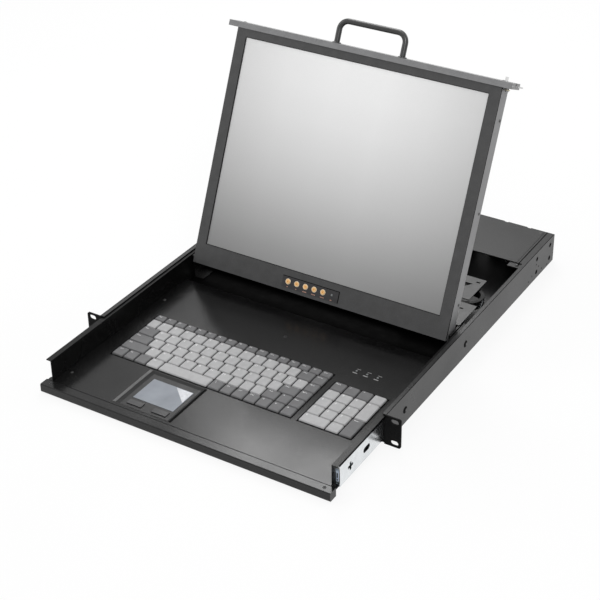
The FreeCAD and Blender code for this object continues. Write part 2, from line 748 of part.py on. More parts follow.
keep(connector("dvi_centre", "dvi_width", "dvi_height", "dvi_wall", "dvi_proud", "usb_depth",
               ("2 * dvi_wall - dvi_height / 2", "dvi_height / 2 - 2 * dvi_wall"), "dvi"),
     "dvi_connector")
keep(connector("usb_centre", "usb_width", "usb_height", "usb_wall", "usb_proud", "usb_depth",
               ("0", "usb_height / 2 - 2 * usb_wall"), "usb"), "usb_connector")
fasteners = []
for sign in (-1, 1):
    nut = rod("y", (f"dvi_centre + {sign} * (dvi_width / 2 + dvi_nut_gap)", PORT_Z),
              ("housing_depth", "housing_depth + nut_height"), "nut_radius", "dvi_nut", 6)
    fasteners.append(nut)
keep(group(fasteners, "dvi_nuts"), "connector_screws")


def board(x, y, height, components, name):
    """A circuit board on four square pillars that stand on the floor, with its components."""
    solids = [block(x, y, (up(height), up(f"{height} + board_sheet")), name)]
    for px in (f"({x[0]} + pillar_inset)", f"({x[1]} - pillar_inset)"):
        for py in (f"({y[0]} + pillar_inset)", f"({y[1]} - pillar_inset)"):
            solids.append(square(px, py, "pillar / 2", (up("sheet"), up(height)),
                                 name + "_pillar"))
    return fuse(solids + components, name)


def component(centre, inset, width, depth, base, height, name):
    """A block on a board: its centre in X and its distance in from the housing's rear face."""
    return block((f"{centre} - {width} / 2", f"{centre} + {width} / 2"),
                 (f"housing_depth - {inset} - {depth}", f"housing_depth - {inset}"),
                 (up(base), up(f"{base} + {height}")), name)


SUPPLY_X = ("supply_left", "(supply_left + supply_width)")
SUPPLY_Y = ("(housing_depth - supply_inset - supply_depth)", "(housing_depth - supply_inset)")
SUPPLY_TOP = "(sheet + board_rise + board_sheet)"
supply_parts = [
    component("vent_centre", "sink_inset", "sink_width", "sink_thick", SUPPLY_TOP,
              "sink_height", "heat_sink"),
    component("(vent_centre - sink_width / 2 + transformer_width / 2)", "transformer_inset",
              "transformer_width", "transformer_depth", SUPPLY_TOP, "transformer_height",
              "transformer"),
    component("(vent_centre + choke_width / 2)", "choke_inset", "choke_width", "choke_depth",
              SUPPLY_TOP, "choke_height", "filter_choke"),
]
for place in (1, 3):
    supply_parts.append(component(f"(vent_centre + {place} * capacitor_width / 1.5)",
                                  "capacitor_inset", "capacitor_width", "capacitor_width",
                                  SUPPLY_TOP, "capacitor_height", "capacitor"))
keep(board(SUPPLY_X, SUPPLY_Y, "(sheet + board_rise)", supply_parts, "supply"), "power_supply")
CONTROLLER_X = ("controller_left", "(controller_left + controller_width)")
CONTROLLER_Y = ("(housing_depth - controller_inset - controller_depth)",
                "(housing_depth - controller_inset)")
CONTROLLER_TOP = f"(housing_height / 2 + {PORT_Z} - dvi_height / 2 - controller_drop)"
chip_parts = [
    component("dvi_centre", "chip_inset", "chip", "chip", CONTROLLER_TOP, "chip_height", "chip"),
    component("(dvi_centre + 1.5 * chip)", "chip_inset", "(chip / 2)", "(chip / 2)",
              CONTROLLER_TOP, "chip_height", "chip"),
    component("dvi_centre", "port_body", "dvi_width", "(dvi_width / 2)", CONTROLLER_TOP,
              "port_base_height", "dvi_base"),
    component("usb_centre", "port_body", "usb_width", "usb_height", CONTROLLER_TOP,
              "port_base_height", "usb_base"),
]
keep(board(CONTROLLER_X, CONTROLLER_Y, f"({CONTROLLER_TOP} - board_sheet)", chip_parts,
           "controller"), "controller_board")

# ---------------------------------------------------------------- tray, bezel and deck

tray_outline = [
    (f"-{TRAY_SIDE}", up("tray_floor")),
    (TRAY_SIDE, up("tray_floor")),
    (TRAY_SIDE, up(f"{TRAY_TOP} - sheet")),
    (f"{TRAY_SIDE} + tray_flange", up(f"{TRAY_TOP} - sheet")),
    (f"{TRAY_SIDE} + tray_flange", up(TRAY_TOP)),
    (TRAY_INNER, up(TRAY_TOP)),
    (TRAY_INNER, up(FLOOR_TOP)),
    (f"-{TRAY_INNER}", up(FLOOR_TOP)),
    (f"-{TRAY_INNER}", up(TRAY_TOP)),
    (f"-{TRAY_SIDE} - tray_flange", up(TRAY_TOP)),
    (f"-{TRAY_SIDE} - tray_flange", up(f"{TRAY_TOP} - sheet")),
    (f"-{TRAY_SIDE}", up(f"{TRAY_TOP} - sheet")),
]
tray = profile("XZ_Plane", tray_outline, ("tray_front", TRAY_BACK), "tray")
apron = block((f"-{TRAY_INNER}", TRAY_INNER),
              ("bezel_front + bezel_wall + deck_gap", "tray_front"),
              (up("tray_floor"), up(FLOOR_TOP)), "tray_apron")
back_wall = block((f"-{TRAY_INNER}", TRAY_INNER), (f"{TRAY_BACK} - sheet", TRAY_BACK),
                  (up(FLOOR_TOP), up(f"{FLOOR_TOP} + tray_back_wall")), "tray_back_wall")
keep(fuse([tray, apron, back_wall], "tray"), "drawer_tray")

# The bezel is a folded channel, open at the back, with closed ends.
bezel_outline = [
    ("bezel_front", up("bezel_low + bezel_chamfer")),
    ("bezel_front + bezel_chamfer", up("bezel_low")),
    (BEZEL_BACK, up("bezel_low")),
    (BEZEL_BACK, up("bezel_low + sheet")),
    ("bezel_front + bezel_wall", up("bezel_low + sheet")),
    ("bezel_front + bezel_wall", up(f"{BEZEL_HIGH} - sheet")),
    (BEZEL_BACK, up(f"{BEZEL_HIGH} - sheet")),
    (BEZEL_BACK, up(BEZEL_HIGH)),
    ("bezel_front + bezel_chamfer", up(BEZEL_HIGH)),
    ("bezel_front", up(f"{BEZEL_HIGH} - bezel_chamfer")),
]
bezel_parts = [profile("YZ_Plane", bezel_outline, (f"-{FRONT_END}", FRONT_END), "bezel")]
for side_name, side in SIDES:
    bezel_parts.append(block(span_on(side, f"{FRONT_END} - bezel_wall", FRONT_END),
                             ("bezel_front + bezel_wall", BEZEL_BACK),
                             (up("bezel_low"), up(BEZEL_HIGH)), "bezel_end"))
    # a tab folded back beside the tray's wall, under the slide's front end
    bezel_parts.append(block(span_on(side, f"{TRAY_SIDE} + deck_gap", FRONT_END),
                             (BEZEL_BACK, f"{BEZEL_BACK} + bezel_tab"),
                             (up("deck_top - sheet"), up("deck_top")), "bezel_tab"))
for number in (-1, 0, 1):
    x = f"({number} * bezel_foot_pitch)"
    bezel_parts.append(block((f"{x} - bezel_foot / 2", f"{x} + bezel_foot / 2"),
                             ("bezel_front + bezel_wall", BEZEL_BACK),
                             (up("bezel_low + sheet"), up("tray_floor")), "bezel_foot"))
keep(fuse(bezel_parts, "front_bezel"), "front_bezel")

# the main block's width and the right-hand cursor column's, in key pitches
KEYBOARD_UNITS = 14.78
CURSOR_UNITS = 0.958
KEYBOARD_RIGHT = f"(keyboard_left + {KEYBOARD_UNITS} * key_pitch)"
KEYPAD_LEFT = f"({KEYBOARD_RIGHT} + keypad_gap)"
MAIN_OPENING = ("(keyboard_left - key_opening)", f"({KEYBOARD_RIGHT} + key_opening)")
PAD_OPENING = (f"({KEYPAD_LEFT} - key_opening)",
               f"({KEYPAD_LEFT} + 4 * keypad_pitch + key_opening)")
KEYS_FRONT = "(keyboard_front - key_opening)"
MAIN_DEPTH = (KEYS_FRONT, "(keyboard_front + 5 * key_row + function_row + key_opening)")
PAD_DEPTH = (KEYS_FRONT, "(keyboard_front + 5 * key_row + key_opening)")
TOUCH_X = ("touch_left", "(touch_left + touch_width)")
TOUCH_Y = ("touch_front", "(touch_front + touch_depth)")
DECK_SIDE = f"({TRAY_INNER} - deck_gap)"
DECK_FRONT = f"({BEZEL_BACK} + deck_gap)"
LIGHTS = [f"(light_first + {number} * light_pitch)" for number in range(3)]
deck_through = (up("deck_top - sheet - key_skirt"), up(f"deck_top + {PAST}"))
deck_cuts = [
    block((f"-{DECK_SIDE} + sheet", f"{DECK_SIDE} - sheet"),
          (f"{DECK_FRONT} + sheet", f"{DECK_BACK} - sheet"),
          (up("0"), up("deck_top - sheet")), "deck_hollow"),
    block(MAIN_OPENING, MAIN_DEPTH, deck_through, "keyboard_opening"),
    block(PAD_OPENING, PAD_DEPTH, deck_through, "keypad_opening"),
    block((f"{TOUCH_X[0]} - touch_fit", f"{TOUCH_X[1]} + touch_fit"),
          (f"{TOUCH_Y[0]} - touch_fit", f"{TOUCH_Y[1]} + touch_fit"), deck_through,
          "touchpad_opening"),
]
for x in LIGHTS:
    deck_cuts.append(square(x, "light_y", "light_width / 2 + light_gap", deck_through,
                            "light_hole"))
deck = block((f"-{DECK_SIDE}", DECK_SIDE), (DECK_FRONT, DECK_BACK),
             (up(FLOOR_TOP), up("deck_top")), "deck")
keep(cut(deck, [fuse(deck_cuts, "deck_cuts")], "keyboard_deck"), "keyboard_deck")
lights = [square(x, "light_y", "light_width / 2", (up("deck_top + light_rise - light_length"),
                                                   up("deck_top + light_rise")), "light")
          for x in LIGHTS]
keep(group(lights, "lights"), "status_lights")

# ---------------------------------------------------------------- keys

# Each row is a list of key widths in key pitches, from the left; 0 is the key that takes up
# what is left of the row before the column of cursor keys at the right.
MAIN_ROWS = {
    "space": [0.97, 0.94, 1.0, 1.07, 4.07, 0.98, 0.93, 0.98, 0.96, 0.98, 0],
    "lower": [2.04] + [1] * 7 + [0.895] * 3 + [1.15, 0],
    "home": [1.62] + [1] * 9 + [0.905] * 2 + [0],
    "upper": [1.36] + [1] * 10 + [0.785] * 2 + [0],
    "number": [0.865] + [1] * 10 + [0.9] * 2 + [0],
}
# The keypad's keys in each row: first column, columns wide, rows deep.
KEYPAD_ROWS = {
    "space": [(0, 2, 1), (2, 1, 1), (3, 1, 2)],
    "lower": [(0, 1, 1), (1, 1, 1), (2, 1, 1)],
    "home": [(0, 1, 1), (1, 1, 1), (2, 1, 1), (3, 1, 2)],
    "upper": [(0, 1, 1), (1, 1, 1), (2, 1, 1)],
    "number": [(0, 1, 1), (1, 1, 1), (2, 1, 1), (3, 1, 1)],
}
FUNCTION_KEYS = 17
ROWS = list(MAIN_ROWS)


def middle(low, high):
    return f"((({low}) + ({high})) / 2)"


def key(x, y):
    """A tapered keycap with a square stem that dips into its row's trough in the base."""
    cap = add("Part::Wedge", "keycap")
    cap.Placement = FreeCAD.Placement(FreeCAD.Vector(), UPRIGHT)
    (left, right), (front, back) = x, y
    half_gap = "key_gap / 2"
    edges = {
        "Xmin": f"({left}) + {half_gap}",
        "Xmax": f"({right}) - {half_gap}",
        "X2min": f"({left}) + {half_gap} + key_taper",
        "X2max": f"({right}) - {half_gap} - key_taper",
        "Ymin": up(KEY_SKIRT),
        "Ymax": up(KEY_TOP),
        "Zmin": f"-({back}) + {half_gap}",
        "Zmax": f"-({front}) - {half_gap}",
        "Z2min": f"-({back}) + {half_gap} + key_taper / 2",
        "Z2max": f"-({front}) - {half_gap} - key_taper",
    }
    for edge, value in edges.items():
        cap.setExpression(edge, sized(value))
    half = "(key_stem / 2)"
    stem = block((f"{middle(*x)} - {half}", f"{middle(*x)} + {half}"),
                 (f"{middle(*y)} - {half}", f"{middle(*y)} + {half}"),
                 (up(f"{KEY_BASE} - key_stem_dip"), up(KEY_SKIRT)), "key_stem")
    return fuse([cap, stem], "key")


def row_span(index):
    return (f"(keyboard_front + {index} * key_row)", f"(keyboard_front + {index + 1} * key_row)")


CURSOR = (f"({KEYBOARD_RIGHT} - {CURSOR_UNITS} * key_pitch)", KEYBOARD_RIGHT)
FUNCTION_Y = ("(keyboard_front + 5 * key_row)", "(keyboard_front + 5 * key_row + function_row)")
layout = {}
for index, row_name in enumerate(ROWS):
    y = row_span(index)
    places = []
    start = 0.0
    for width in MAIN_ROWS[row_name]:
        left = f"(keyboard_left + {start:.3f} * key_pitch)"
        start += width
        right = f"(keyboard_left + {start:.3f} * key_pitch)" if width else CURSOR[0]
        places.append(((left, right), y))
    places.append((CURSOR, y))
    for column, wide, deep in KEYPAD_ROWS[row_name]:
        left = f"({KEYPAD_LEFT} + {column} * keypad_pitch)"
        right = f"({KEYPAD_LEFT} + {column + wide} * keypad_pitch)"
        places.append(((left, right), (y[0], row_span(index + deep - 1)[1])))
    layout[row_name] = places
layout["function"] = []
for number in range(FUNCTION_KEYS):
    ends = tuple(f"(keyboard_left + {end} * {KEYBOARD_UNITS} * key_pitch / {FUNCTION_KEYS})"
                 for end in (number, number + 1))
    layout["function"].append((ends, FUNCTION_Y))

for row_name, places in layout.items():
    keep(group([key(x, y) for x, y in places], f"{row_name}_keys"), f"{row_name}_row_keys")


def key_base(x, y, centres, node):
    """The plate under a block of keys, with a trough in it along each row of stems."""
    half = "(key_stem / 2 + key_stem_gap)"
    margin = "(key_opening + key_gap)"
    troughs = [block((f"{x[0]} + {margin}", f"{x[1]} - {margin}"),
                     (f"{centre} - {half}", f"{centre} + {half}"),
                     (up(f"{KEY_BASE} - key_stem_dip - key_travel - key_stem_gap"),
                      up(f"{KEY_BASE} + {PAST}")), "trough") for centre in centres]
    plate = block(x, y, (up(FLOOR_TOP), up(KEY_BASE)), node)
    return keep(cut(plate, troughs, node), node)


row_centres = [middle(*row_span(index)) for index in range(len(ROWS))]
key_base(MAIN_OPENING, MAIN_DEPTH, row_centres + [middle(*FUNCTION_Y)], "keyboard_base")
# the keypad's two tall keys have their stems between rows
tall_centres = [f"(keyboard_front + {rows_below} * key_row)" for rows_below in (1, 3)]
key_base(PAD_OPENING, PAD_DEPTH, row_centres + tall_centres, "keypad_base")

# ---------------------------------------------------------------- touchpad

TOUCH_FLOOR = "(deck_top - touch_drop)"
frame_block = block(TOUCH_X, TOUCH_Y, (up(FLOOR_TOP), up("deck_top")), "touch_block")
dish = add("Part::Wedge", "touch_dish")
dish.Placement = FreeCAD.Placement(FreeCAD.Vector(), UPRIGHT)
dish_edges = {
    "Xmin": f"{TOUCH_X[0]} + touch_rim + touch_slope",
    "Xmax": f"{TOUCH_X[1]} - touch_rim - touch_slope",
    "X2min": f"{TOUCH_X[0]} + touch_rim",
    "X2max": f"{TOUCH_X[1]} - touch_rim",
    "Ymin": up(TOUCH_FLOOR),
    "Ymax": up("deck_top"),
    "Zmin": f"touch_rim + touch_slope - {TOUCH_Y[1]}",
    "Zmax": f"-{TOUCH_Y[0]} - touch_rim - touch_slope",
    "Z2min": f"touch_rim - {TOUCH_Y[1]}",
    "Z2max": f"-{TOUCH_Y[0]} - touch_rim",
}
for edge, value in dish_edges.items():
    dish.setExpression(edge, sized(value))
PAD_X = ("pad_left", "(pad_left + pad_width)")
PAD_Y = ("pad_front", "(pad_front + pad_depth)")
CLICKS = {
    "left_click_button": (f"({PAD_X[0]} + click_inset)",
                          f"({PAD_X[0]} + click_inset + click_width)"),
    "right_click_button": (f"({PAD_X[1]} - 4 * click_inset - click_width)",
                           f"({PAD_X[1]} - 4 * click_inset)"),
}
CLICK_Y = ("click_front", "(click_front + click_depth)")


def pocket(x, y, gap, low, name):
    """A pocket in the touchpad's frame with a gap all round what sits in it."""
    return block((f"{x[0]} - {gap}", f"{x[1]} + {gap}"), (f"{y[0]} - {gap}", f"{y[1]} + {gap}"),
                 (up(low), up("deck_top")), name)


touch_cuts = [dish, pocket(PAD_X, PAD_Y, "touch_fit", f"{TOUCH_FLOOR} - pad_sink", "pad_pocket")]
for x in CLICKS.values():
    click_low = f"{TOUCH_FLOOR} - click_sink - click_travel - click_gap"
    touch_cuts.append(pocket(x, CLICK_Y, "click_gap", click_low, "click_pocket"))
keep(cut(frame_block, touch_cuts, "touchpad_frame"), "touchpad_frame")
keep(block(PAD_X, PAD_Y, (up(f"{TOUCH_FLOOR} - pad_sink"), up(f"{TOUCH_FLOOR} + pad_proud")),
           "pad_surface"), "touchpad_surface")
for node, x in CLICKS.items():
    keep(block(x, CLICK_Y, (up(f"{TOUCH_FLOOR} - click_sink"), up(f"{TOUCH_FLOOR} + click_proud")),
               node), node)

# ---------------------------------------------------------------- display hinge and cable shelf

PLATE_INNER = f"({CASE_SIDE} + hinge_side_gap)"
PLATE_Y = (f"({HINGE_Y} - hinge_plate_depth / 2)", f"({HINGE_Y} + hinge_plate_depth / 2)")
for side_name, side in SIDES:
    plate = block(span_on(side, PLATE_INNER, f"{PLATE_INNER} + hinge_plate"), PLATE_Y,
                  (up(FLOOR_TOP), up(f"{TRAY_TOP} - deck_gap")), "hinge_plate")
    foot = block(span_on(side, f"{PLATE_INNER} - hinge_foot", PLATE_INNER), PLATE_Y,
                 (up(FLOOR_TOP), up(f"{FLOOR_TOP} + hinge_foot_height")), "hinge_foot")
    pin = rod("x", (HINGE_Y, HINGE_Z), span_on(side, f"{PLATE_INNER} - hinge_pin_reach",
                                               PLATE_INNER), "hinge_pin_radius", "hinge_pin")
    keep(fuse([plate, foot, pin], f"{side_name}_hinge"), f"{side_name}_hinge")

# Behind the tray a folded plate carries the display's flat cable, which turns in one loop.
SHELF_TOP = "(housing_height - shelf_drop)"
SHELF_UNDER = f"({SHELF_TOP} - sheet)"
SHELF_BACK = f"({TRAY_BACK} + shelf_length)"
SHELF_SLOT = f"({TRAY_BACK} + shelf_slot)"
SHELF_RIGHT = f"({WALL} - shelf_inset)"
SHELF_SPAN = (f"({SHELF_RIGHT} - shelf_width)", SHELF_RIGHT)
leg = block(SHELF_SPAN, (TRAY_BACK, f"{TRAY_BACK} + sheet"),
            (up(FLOOR_TOP), up(SHELF_TOP)), "shelf_leg")
plate = block(SHELF_SPAN, (TRAY_BACK, SHELF_BACK),
              (up(SHELF_UNDER), up(SHELF_TOP)), "shelf_plate")
shelf_through = (up(f"{SHELF_UNDER} - {PAST}"), up(f"{SHELF_TOP} + {PAST}"))
window_side = "(shelf_notch * 0.8)"
window_x = f"({SHELF_RIGHT} - 2.6 * shelf_notch)"
triangle = profile("XY_Plane", [
    (window_x, f"{SHELF_BACK} - shelf_notch"),
    (f"{window_x} + {window_side}", f"{SHELF_BACK} - shelf_notch"),
    (f"{window_x} + {window_side} / 4", f"{SHELF_BACK} - shelf_notch - {window_side}"),
], shelf_through, "shelf_window")
CLAMP_X = f"({SHELF_RIGHT} - cable_clamp)"
shelf_cuts = [
    block((CLAMP_X, f"{SHELF_RIGHT} + {PAST}"),
          (f"{SHELF_SLOT} - shelf_slot_width / 2", f"{SHELF_SLOT} + shelf_slot_width / 2"),
          shelf_through, "shelf_gap"),
    block((f"{SHELF_RIGHT} - shelf_notch", f"{SHELF_RIGHT} + {PAST}"),
          (SHELF_SLOT, f"{SHELF_BACK} + {PAST}"), shelf_through, "shelf_side"),
    triangle,
]
for x, y in ((f"({SHELF_RIGHT} - 1.5 * shelf_notch)", f"({SHELF_BACK} - shelf_slot_width)"),
             (f"({SHELF_RIGHT} - shelf_notch)", f"({SHELF_SLOT} - 2 * shelf_slot_width)")):
    shelf_cuts.append(block((f"{x} - tie_slot", f"{x} + tie_slot"),
                            (f"{y} - tie_slot / 2", f"{y} + tie_slot / 2"),
                            shelf_through, "tie_slot"))
keep(cut(fuse([leg, plate], "shelf"), shelf_cuts, "cable_shelf"), "cable_shelf")

CABLE_NEAR = SHELF_SLOT
CABLE_FAR = f"({SHELF_SLOT} + cable_loop)"
CABLE_Z = (f"({SHELF_UNDER} - clamp_wall - cable_width)", f"({SHELF_UNDER} - clamp_wall)")
clamp_half = "(cable_thick / 2 + clamp_wall)"
clamps = [block((f"{CLAMP_X} - clamp_length", CLAMP_X),
                (f"{y} - {clamp_half}", f"{y} + {clamp_half}"),
                (up(f"{CABLE_Z[0]} - clamp_wall"), up(SHELF_UNDER)), "clamp")
          for y in (CABLE_NEAR, CABLE_FAR)]
keep(group(clamps, "clamps"), "cable_clamps")
# two straight runs and a half turn between them, all on edge
turn_x = f"({SHELF_RIGHT} - deck_gap - cable_loop / 2 - cable_thick)"
turn_y = f"(({CABLE_NEAR} + {CABLE_FAR}) / 2)"
cable_z = tuple(up(z) for z in CABLE_Z)
runs = [block((CLAMP_X, turn_x), (f"{y} - cable_thick / 2", f"{y} + cable_thick / 2"),
              cable_z, "cable_run") for y in (CABLE_NEAR, CABLE_FAR)]
outer_turn = rod("z", (turn_x, turn_y), cable_z, "(cable_loop + cable_thick) / 2", "cable_turn")
inner_turn = rod("z", (turn_x, turn_y), (f"{cable_z[0]} - {PAST}", f"{cable_z[1]} + {PAST}"),
                 "(cable_loop - cable_thick) / 2", "cable_turn")
left_half = block((f"{turn_x} - cable_loop", turn_x),
                  (f"{turn_y} - cable_loop", f"{turn_y} + cable_loop"),
                  (f"{cable_z[0]} - {PAST}", f"{cable_z[1]} + {PAST}"), "cable_turn")
turn = cut(outer_turn, [inner_turn, left_half], "cable_turn")
keep(fuse(runs + [turn], "loop_cable"), "loop_cable")

# ---------------------------------------------------------------- display

# The display is drawn upright about its hinge axis: X as before, Y from its front face back
# and Z up its face. hang() then leans it back and carries it to the hinge.


def hang(piece, node):
    """Leans a piece of the display back, carries it to the hinge and keeps it."""
    placed = group([piece], node)
    leaning = FreeCAD.Rotation(FreeCAD.Vector(-1, 0, 0), 1)
    placed.Placement = FreeCAD.Placement(FreeCAD.Vector(), leaning)
    placed.setExpression("Placement.Rotation.Angle", sized("display_lean_angle"))
    placed.setExpression("Placement.Base.y", sized(HINGE_Y))
    placed.setExpression("Placement.Base.z", sized(HINGE_Z))
    return keep(placed, node)


CASE_FRONT = "(case_wall - hinge_setback)"
CASE_LINING = f"({CASE_BACK} - case_wall)"
bore_radius = "hinge_pin_radius + hinge_fit"
case = block((f"-{CASE_SIDE}", CASE_SIDE), (CASE_FRONT, CASE_BACK), (CASE_LOW, CASE_HIGH), "case")
case_cuts = [block((f"-{CASE_SIDE} + case_wall", f"{CASE_SIDE} - case_wall"),
                   (f"{CASE_FRONT} - {PAST}", CASE_LINING),
                   (f"{CASE_LOW} + case_wall", f"{CASE_HIGH} - case_wall"), "case_hollow")]
for side_name, side in SIDES:
    case_cuts.append(rod("x", ("0", "0"), span_on(side, f"{CASE_SIDE} - case_wall - {PAST}",
                                                  f"{CASE_SIDE} + {PAST}"),
                         bore_radius, "case_bore"))
hang(cut(case, case_cuts, "case"), "display_case")

# The mask frames the screen; behind the row of buttons it has one window.
CONTROL_X = ("control_left", "(control_left + control_width)")
CONTROL_Z = (f"({CASE_LOW} + control_low)", f"({CASE_LOW} + control_low + control_height)")
mask = block((f"-{CASE_SIDE}", CASE_SIDE), (FACE, CASE_FRONT), (CASE_LOW, CASE_HIGH), "mask")
mask_through = (f"{FACE} - {PAST}", f"{CASE_FRONT} + {PAST}")
mask_cuts = [
    block(("-screen_width / 2", "screen_width / 2"), mask_through, (SCREEN_LOW, SCREEN_HIGH),
          "screen_window"),
    block((f"{CONTROL_X[0]} + control_margin", f"{CONTROL_X[1]} - control_margin"), mask_through,
          (f"{CONTROL_Z[0]} + control_margin", f"{CONTROL_Z[1]} - control_margin"),
          "control_window"),
]
hang(cut(mask, mask_cuts, "mask"), "display_bezel")

PANEL_FRONT = f"({CASE_FRONT} + panel_gap)"
PANEL_REAR = f"({CASE_FRONT} + panel_gap + panel_depth)"
hang(block((f"panel_margin - {CASE_SIDE}", f"{CASE_SIDE} - panel_margin"),
           (PANEL_FRONT, PANEL_REAR),
           (f"{SCREEN_LOW} - panel_margin", f"{CASE_HIGH} - case_wall - panel_gap"), "panel"),
     "lcd_panel")


def stood_off(x, y, z, name):
    """A board with four square pillars from it to the inside of the case's back."""
    solids = [block(x, (y, f"{y} + board_sheet"), z, name)]
    half = "(pillar / 2)"
    for px in (f"{x[0]} + pillar_inset", f"{x[1]} - pillar_inset"):
        for pz in (f"{z[0]} + pillar_inset", f"{z[1]} - pillar_inset"):
            solids.append(block((f"{px} - {half}", f"{px} + {half}"),
                                (f"{y} + board_sheet", CASE_LINING),
                                (f"{pz} - {half}", f"{pz} + {half}"), name + "_pillar"))
    return fuse(solids, name)


DRIVER_LOW = f"({SCREEN_LOW} + driver_rise)"
hang(stood_off(("driver_left", "(driver_left + driver_width)"), f"({PANEL_REAR} + driver_gap)",
               (DRIVER_LOW, f"({DRIVER_LOW} + driver_height)"), "driver"), "display_driver_board")

# The top bar closes the front of the housing when the display is folded down.
bar = block((f"-{FRONT_END}", FRONT_END), (f"{FACE} - bar_proud", CASE_BACK), (CASE_HIGH, BAR_HIGH),
            "bar")
catch = rod("z", (f"{FRONT_END} - catch_inset", BAR_MIDDLE), (f"{CASE_HIGH} - catch_length", CASE_HIGH),
            "catch_radius", "catch_pin")
LATCH_Y = (f"({BAR_MIDDLE} - latch_width / 2)", f"({BAR_MIDDLE} + latch_width / 2)")
LATCH_INNER = f"({FRONT_END} - latch_length)"
LATCH_LOW = f"({BAR_HIGH} - latch_depth)"
latch_way = block((f"{LATCH_INNER} - latch_travel - latch_gap", f"{FRONT_END} + {PAST}"),
                  (f"{LATCH_Y[0]} - latch_gap", f"{LATCH_Y[1]} + latch_gap"),
                  (f"{LATCH_LOW} - latch_gap", f"{BAR_HIGH} + {PAST}"), "latch_way")
hang(cut(fuse([bar, catch], "bar"), [latch_way], "bar"), "top_bar")
bolt = block((LATCH_INNER, f"{FRONT_END} + latch_reach"), LATCH_Y,
             (LATCH_LOW, f"{LATCH_LOW} + latch_thick"), "bolt")
finger_x = f"({LATCH_INNER} + 2 * latch_finger)"
finger = block((finger_x, f"{finger_x} + latch_finger"), LATCH_Y,
               (f"{LATCH_LOW} + latch_thick", f"{BAR_HIGH} + latch_finger_rise"), "finger")
hang(fuse([bolt, finger], "latch"), "latch_bolt")

# The bail handle is one bent rod: two legs, two quarter turns and the grip. Its round section
# is drawn with flats, which keeps its faces few.
HANDLE_FLATS = 16
HANDLE_TOP = f"({BAR_HIGH} + handle_reach)"
HANDLE_TURN = "(handle_span / 2 - handle_bend)"
grip = [rod("x", (BAR_MIDDLE, HANDLE_TOP), (f"-{HANDLE_TURN}", HANDLE_TURN), "handle_radius",
            "grip", HANDLE_FLATS)]
for side_name, side in SIDES:
    grip.append(rod("z", (mirrored(side, "handle_span / 2"), BAR_MIDDLE),
                    (BAR_HIGH, f"{HANDLE_TOP} - handle_bend"), "handle_radius", "handle_leg",
                    HANDLE_FLATS))
    section = add("Part::RegularPolygon", "bend_section")
    section.Polygon = int(HANDLE_FLATS)
    section.setExpression("Circumradius", sized("handle_radius"))
    section.setExpression("Placement.Base.x", sized("handle_bend"))
    bend = add("Part::Revolution", "handle_bend")
    bend.Source = section
    bend.Axis = FreeCAD.Vector(0, -1, 0)
    bend.Angle = 90
    bend.Solid = True
    turned = FreeCAD.Rotation(FreeCAD.Vector(0, 0, 1), 180 if side < 0 else 0)
    bend.Placement = FreeCAD.Placement(FreeCAD.Vector(), turned)
    bend.setExpression("Placement.Base.x", sized(mirrored(side, HANDLE_TURN)))
    bend.setExpression("Placement.Base.y", sized(BAR_MIDDLE))
    bend.setExpression("Placement.Base.z", sized(f"{HANDLE_TOP} - handle_bend"))
    grip.append(bend)
hang(fuse(grip, "handle"), "bail_handle")

# The plate under the screen holds five buttons and a light, in line. Buttons and their holes
# are drawn with flats.
BUTTON_FLATS = 20
BUTTON_X = [f"(button_first + {number} * button_pitch)" for number in range(5)]
LIGHT_X = "(button_first + 5 * button_pitch)"
CONTROL_FACE = f"({FACE} - control_plate)"
control = block(CONTROL_X, (CONTROL_FACE, FACE), CONTROL_Z, "control")
control_through = (f"{CONTROL_FACE} - {PAST}", f"{FACE} + {PAST}")
control_cuts = [rod("y", (x, CONTROL_MIDDLE), control_through, "button_radius + button_gap",
                    "button_hole", BUTTON_FLATS) for x in BUTTON_X]
light_half = "(button_light / 2)"
control_cuts.append(block((f"{LIGHT_X} - {light_half} - button_gap",
                           f"{LIGHT_X} + {light_half} + button_gap"), control_through,
                          (f"{CONTROL_MIDDLE} - {light_half} - button_gap",
                           f"{CONTROL_MIDDLE} + {light_half} + button_gap"), "light_hole"))
hang(cut(control, control_cuts, "control"), "button_panel")
BUTTON_BACK = f"({CASE_FRONT} + button_root)"
BUTTON_BOARD = f"({BUTTON_BACK} + button_travel + button_gap)"
for number, x in enumerate(BUTTON_X, start=1):
    hang(rod("y", (x, CONTROL_MIDDLE), (f"{CONTROL_FACE} - button_proud", BUTTON_BACK),
             "button_radius", "button", BUTTON_FLATS), f"monitor_button_{number}")
hang(block((f"{LIGHT_X} - {light_half}", f"{LIGHT_X} + {light_half}"),
           (f"{CONTROL_FACE} - button_gap", BUTTON_BOARD),
           (f"{CONTROL_MIDDLE} - {light_half}", f"{CONTROL_MIDDLE} + {light_half}"),
           "monitor_light"), "monitor_light")
hang(stood_off(CONTROL_X, BUTTON_BOARD,
               (f"({CASE_LOW} + case_wall + panel_gap)", f"({SCREEN_LOW} - 2 * panel_margin)"),
               "button_board"), "button_board")

# Inside each lower corner of the case a block turns on the hinge's pin.
knuckles = []
for side_name, side in SIDES:
    knuckle_x = (f"{CASE_SIDE} - case_wall - knuckle_width", f"{CASE_SIDE} - case_wall")
    wall = "(hinge_pin_radius + knuckle_wall)"
    body = block(span_on(side, *knuckle_x), (f"-{wall}", CASE_LINING),
                 (f"{CASE_LOW} + case_wall", f"{wall} + knuckle_wall"), "knuckle")
    bore = rod("x", ("0", "0"), span_on(side, f"{knuckle_x[0]} - {PAST}", CASE_SIDE), bore_radius,
               "knuckle_bore")
    knuckles.append(cut(body, [bore], "knuckle"))
hang(group(knuckles, "knuckles"), "hinge_knuckles")

# ---------------------------------------------------------------- check and write

